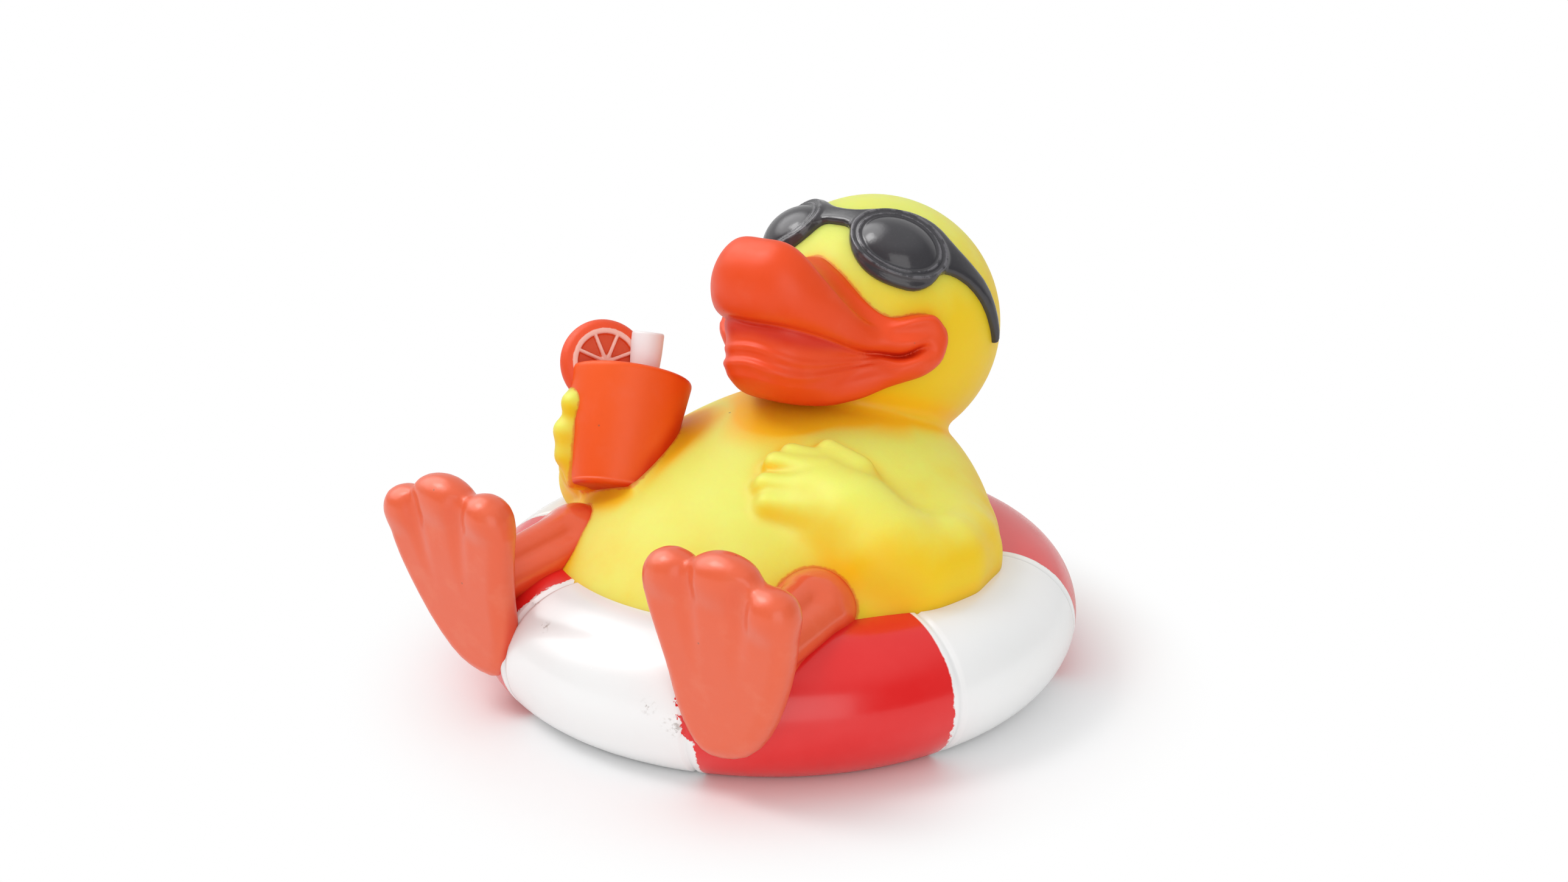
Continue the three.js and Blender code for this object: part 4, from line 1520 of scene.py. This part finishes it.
# Room that each zone takes, as its lowest and highest corners.
DUCK_BOX = ((-47, -62, 0.4), (47, 53, 75))
BILL_BOX = ((-26, -18, 24), (26, 30, 76))
GLASSES_BOX = ((-26, 2, 42), (26, 40, 79))
FOOT_BOXES = {"left": ((9, -58, 2), (44, -12, 44)), "right": ((-44, -58, 2), (-9, -12, 44))}
LEFT_ARM_BOX = ((-3, -30, 8), (52, 28, 52))
LEFT_HAND_BOX = ((-3, -30, 20), (36, 12, 52))
RIGHT_ARM_BOX = ((-52, -34, 8), (-12, 28, 56))
CUP_BOX = ((-42, -36, 22), (-4, 12, 56))
# Wider room in which a zone still counts for its neighbours' painted shade.
BILL_SHADE_BOX = ((-32, -22, 18), (32, 32, 82))
LEG_SHADE_BOXES = {"left": ((5, -62, 0), (48, -8, 50)), "right": ((-48, -62, 0), (-5, -8, 50))}


@dataclass
class Duck:
    """The whole duck, built zone by zone."""

    # Sky direction for the painted shade on the skin, and how that shade grows towards the bottom below a
    # height.
    sky: Place = (-0.16, -0.12, 0.98)
    low_shade: float = 0.012
    low_shade_top: float = 38.0
    gloss_from: float = -44.0
    gloss_reach: float = 3.0

    def __post_init__(self) -> None:
        """Set up the parts that share sizes."""
        self.head = Head()
        self.bill = Bill(self.head)
        self.glasses = Sunglasses(self.head)
        self.torso = Torso()
        self.legs = {"left": Leg(1), "right": Leg(-1)}
        self.cup = Cup()
        self.ring = SwimRing()
        self.squeaker = Squeaker()
        left, right = LeftArm(), RightArm()
        self.joined = (
            (self.head.field, 2.4),
            (within(left.arm, LEFT_ARM_BOX), 4.2),
            (within(left.hand, LEFT_HAND_BOX), 2.0),
            (within(right.field, RIGHT_ARM_BOX), 1.8),
            (within(self.cup.core_field, CUP_BOX), 3.6),
        )
        self.cup_room = within(self.cup.room_field, CUP_BOX)
        self.shading = [self.skin_field, self.ring.field, self.cup.body_field]
        self.shading.append(within(self.bill.field, BILL_SHADE_BOX))
        self.shading += [within(leg.field, LEG_SHADE_BOXES[side]) for side, leg in self.legs.items()]

    def skin_field(self, points: Array) -> Array:
        """Distance to the yellow skin."""
        made = self.torso.field(points)
        for field, blend in self.joined:
            made = smooth_union(made, field(points), blend)
        made = smooth_cut(made, self.cup_room(points), 0.3)
        return self.squeaker.cut(made, points)

    def whole_field(self, points: Array) -> Array:
        """Distance to all that counts for the painted shade and highlight on a surface."""
        return np.min([field(points) for field in self.shading], axis=0)

    def shade(self, piece: bpy.types.Object, dark: Field | None = None) -> Array:
        """Keep the numbers for painted shade and highlight on a piece: how hollow and how proud each place
        is, and how far it faces away from the sky.

        Args:
            piece: the piece.
            dark: a least darkness by place, from 0 to 1; on the bill, the mouth's deep red paint together
                with painted shade under the upper bill.

        Returns:
            Its points in millimetres.
        """
        points = corners_of(piece.data) / MILLIMETRE - FRAME_SHIFT
        count = len(points)
        normals = np.zeros(count * 3)
        piece.data.vertex_normals.foreach_get("vector", normals)
        normals = normals.reshape(-1, 3)
        hollow, proud = np.zeros(count), np.zeros(count)
        # Painted shade: how little room there is round each place, at three reaches.
        for reach, weight in ((1.2, 0.22), (3.5, 0.33), (9.0, 0.45)):
            room = np.clip(self.whole_field(points + normals * reach) / reach, 0, 1)
            hollow += weight * (1 - room)
        # How proud each place is: painted highlight on ridges of the bill, feet and cup, and grey rubbed rims
        # on the glasses.
        for reach, weight in ((0.8, 0.5), (1.8, 0.5)):
            depth = np.clip(-self.whole_field(points - normals * reach) / reach, 0, 1)
            proud += weight * (1 - depth)
        # Painted shade: the skin grows more golden towards the bottom.
        under = self.low_shade * np.maximum(self.low_shade_top - points[:, 2], 0)
        # On the bill the mouth darkens further: partly its deep red paint, partly painted shade under the
        # upper bill.
        if dark is not None:
            hollow = np.maximum(hollow, dark(points))
        store(piece, "proud", proud)
        # Painted shade: how far each place faces away from the sky, plus the rise towards the bottom.
        store(piece, "away", 0.5 - 0.5 * normals @ np.array(self.sky) + under)
        store(piece, "hollow", hollow)
        return points

    def covered(self, name: str, field: Field, box: Box, step: float) -> bpy.types.Object:
        return mesh_piece(name, *skin_over(field, box, step * (1.0)))

    def skin(self) -> bpy.types.Object:
        """Make the yellow skin."""
        piece = self.covered("duck_skin", self.skin_field, DUCK_BOX, 0.56)
        points = self.shade(piece)
        painted = [self.bill.field, self.cup.body_field] + [leg.field for leg in self.legs.values()]
        stray = np.min([field(points) for field in painted], axis=0)
        store(piece, "stray_paint", np.clip(stray, -2, 6))
        piece.data.materials.append(VinylFinish().made())
        return piece

    def face(self) -> tuple[bpy.types.Object, bpy.types.Object]:
        """Make the bill and the sunglasses."""
        bill = self.covered("bill", self.bill.field, BILL_BOX, 0.3)
        self.shade(bill, self.bill.mouth)
        paint = PaintFinish("bill_paint", Colour.BILL, Colour.DEEP_BILL, Colour.PALE_BILL, 0.42)
        bill.data.materials.append(paint.made())
        glasses = self.covered("sunglasses", self.glasses.field, GLASSES_BOX, 0.24)
        points = self.shade(glasses)
        store(glasses, "ridge", self.glasses.relief(self.head.local(points))[1])
        glasses.data.materials.append(LacquerFinish().made())
        return bill, glasses

    def feet(self) -> list[bpy.types.Object]:
        """Make both legs with their feet."""
        paint = PaintFinish("foot_paint", Colour.FOOT, Colour.SHADED_FOOT, Colour.PALE_FOOT, 0.36, 0.3).made()
        made = []
        for side, leg in self.legs.items():
            piece = self.covered(f"{side}_foot", leg.field, FOOT_BOXES[side], 0.4)
            points = self.shade(piece)
            store(piece, "gloss", np.clip((points[:, 1] - self.gloss_from) / self.gloss_reach, 0, 1))
            piece.data.materials.append(paint)
            made.append(piece)
        return made

    def drink(self) -> list[bpy.types.Object]:
        """Make the cup, its straw and its orange slice."""
        cup = self.cup.body()
        self.shade(cup)
        paint = PaintFinish("cup_paint", Colour.CUP, Colour.DEEP_BILL, Colour.PALE_BILL, 0.45)
        cup.data.materials.append(paint.made())
        straw = self.cup.straw()
        straw.data.materials.append(ThinPaintFinish("straw_paint", Colour.STRAW, Colour.DEEP_BILL).made())
        return [cup, straw, self.cup.slice(CitrusFinish().made())]

    def build(self) -> dict[str, bpy.types.Object]:
        """Make every piece.

        Returns:
            The pieces by name.
        """
        made = [self.skin(), *self.face(), *self.feet(), *self.drink()]
        made.append(self.ring.made(StripeFinish().made()))
        return {piece.name: piece for piece in made}


@dataclass
class Studio:
    """A plain pale floor, soft light and the camera."""

    camera_place: Place = (159.646, -217.969, 128.485)
    camera_right: Place = (0.810658, 0.585508, -0.003695)
    camera_up: Place = (-0.184344, 0.261211, 0.947516)
    lens: float = 39.98
    sensor: float = 36.0
    floor_reach: float = 3.0
    floor_level: float = -0.00005
    white_from: tuple[float, float] = (48.0, 74.0)
    lamp_aim: Place = (0.0, 0.0, 0.03)

    def build(self) -> None:
        """Make the floor, the world, the lamps and the camera."""
        self.floor()
        self.world()
        self.lamps()
        self.camera()

    def floor(self) -> None:
        """Make a pale floor that takes a soft shadow."""
        mesh = bpy.data.meshes.new("floor")
        ways = ((-1, -1), (1, -1), (1, 1), (-1, 1))
        corners = [(x * self.floor_reach, y * self.floor_reach, self.floor_level) for x, y in ways]
        mesh.from_pydata(corners, [], [(0, 1, 2, 3)])
        floor = in_scene("floor", mesh)
        paint = Paint("floor_paper")
        paint.finish(Colour.PAPER, 0.5, Specular_IOR_Level=0.3)
        seen = Value(paint, paint.add("ShaderNodeLightPath").outputs["Is Camera Ray"])
        far = paint.out().ramp(*self.white_from)
        glow = paint.add("ShaderNodeEmission", Color=Colour.LIGHT, Strength=1.0)
        soft = paint.add("ShaderNodeMixShader", i0=seen * far, i1=paint.shader.outputs[0], i2=glow.outputs[0])
        paint.plug(paint.output.inputs[0], soft.outputs[0])
        mesh.materials.append(paint.material)

    def world(self) -> None:
        """Make a white backdrop whose light on the object is plain."""
        world = bpy.data.worlds.new("studio")
        bpy.context.scene.world = world
        world.use_nodes = True
        tree = Tree(world.node_tree)
        tree.nodes.nodes.clear()
        rays = tree.add("ShaderNodeLightPath")
        seen = Value(tree, rays.outputs["Is Camera Ray"])
        seen = seen.most(Value(tree, rays.outputs["Is Transmission Ray"]))
        way = tree.add("ShaderNodeSeparateXYZ", i0=tree.add("ShaderNodeTexCoord").outputs["Generated"])
        east, north, high = [Value(tree, socket) for socket in way.outputs]
        soft = high.ramp(-0.2, 0.9) * 0.2 + 0.6
        window = (east * -0.62 + north * -0.18 + high * 0.76).ramp(0.78, 0.95) * 3.6
        top = high.ramp(0.45, 0.9) * 0.7
        rear = (north * 0.81 - east * 0.59).ramp(0.0, 0.6) * high.ramp(-0.2, 0.1) * 0.8
        sharp = window + top.most(rear) + 0.03
        mirrored = Value(tree, rays.outputs["Is Glossy Ray"])
        strength = soft * (1 - mirrored) + sharp * mirrored
        light = tree.add("ShaderNodeBackground", Color=Colour.LIGHT, Strength=strength)
        white = tree.add("ShaderNodeBackground", Color=Colour.LIGHT, Strength=1.0)
        mixed = tree.add("ShaderNodeMixShader", i0=seen, i1=light.outputs[0], i2=white.outputs[0])
        tree.add("ShaderNodeOutputWorld", Surface=mixed.outputs[0])

    def lamps(self) -> None:
        """Hang two soft lamps."""
        for name, place, size, power in (
            ("key", (-0.36, -0.3, 0.66), 0.26, 1.5),
            ("fill", (0.55, -0.6, 0.22), 0.6, 2.0),
        ):
            data = bpy.data.lights.new(name, "AREA")
            data.shape = "SQUARE"
            data.size = size
            data.energy = power
            lamp = in_scene(name, data)
            lamp.location = place
            lamp.rotation_euler = (Vector(self.lamp_aim) - lamp.location).to_track_quat("-Z", "Y").to_euler()

    def camera(self) -> None:
        """Put the camera where the photograph was taken from."""
        data = bpy.data.cameras.new("camera")
        data.lens = self.lens
        data.sensor_width = self.sensor
        data.clip_start = 0.01
        camera = in_scene("camera", data)
        right, up = Vector(self.camera_right), Vector(self.camera_up)
        turn = Matrix((right, up, right.cross(up))).transposed().to_4x4()
        place = Vector((np.array(self.camera_place) + FRAME_SHIFT) * MILLIMETRE)
        camera.matrix_world = Matrix.Translation(place) @ turn
        bpy.context.scene.camera = camera


def main() -> None:
    """Build the duck, its finishes and the studio, and report each piece."""
    logging.basicConfig(level=logging.INFO, format="%(name)s: %(message)s")
    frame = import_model()
    bpy.context.scene.view_settings.view_transform = "Standard"
    Studio().build()
    pieces = Duck().build()
    for name, piece in pieces.items():
        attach(piece, "root")
        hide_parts("duck_body")
        LOG.info("%s: %d vertices", name, len(piece.data.vertices))
    plug = frame["nodes"]["squeaker"]
    plug.data.materials.clear()
    plug.data.materials.append(PlugFinish().made())


if __name__ == "__main__":
    main()
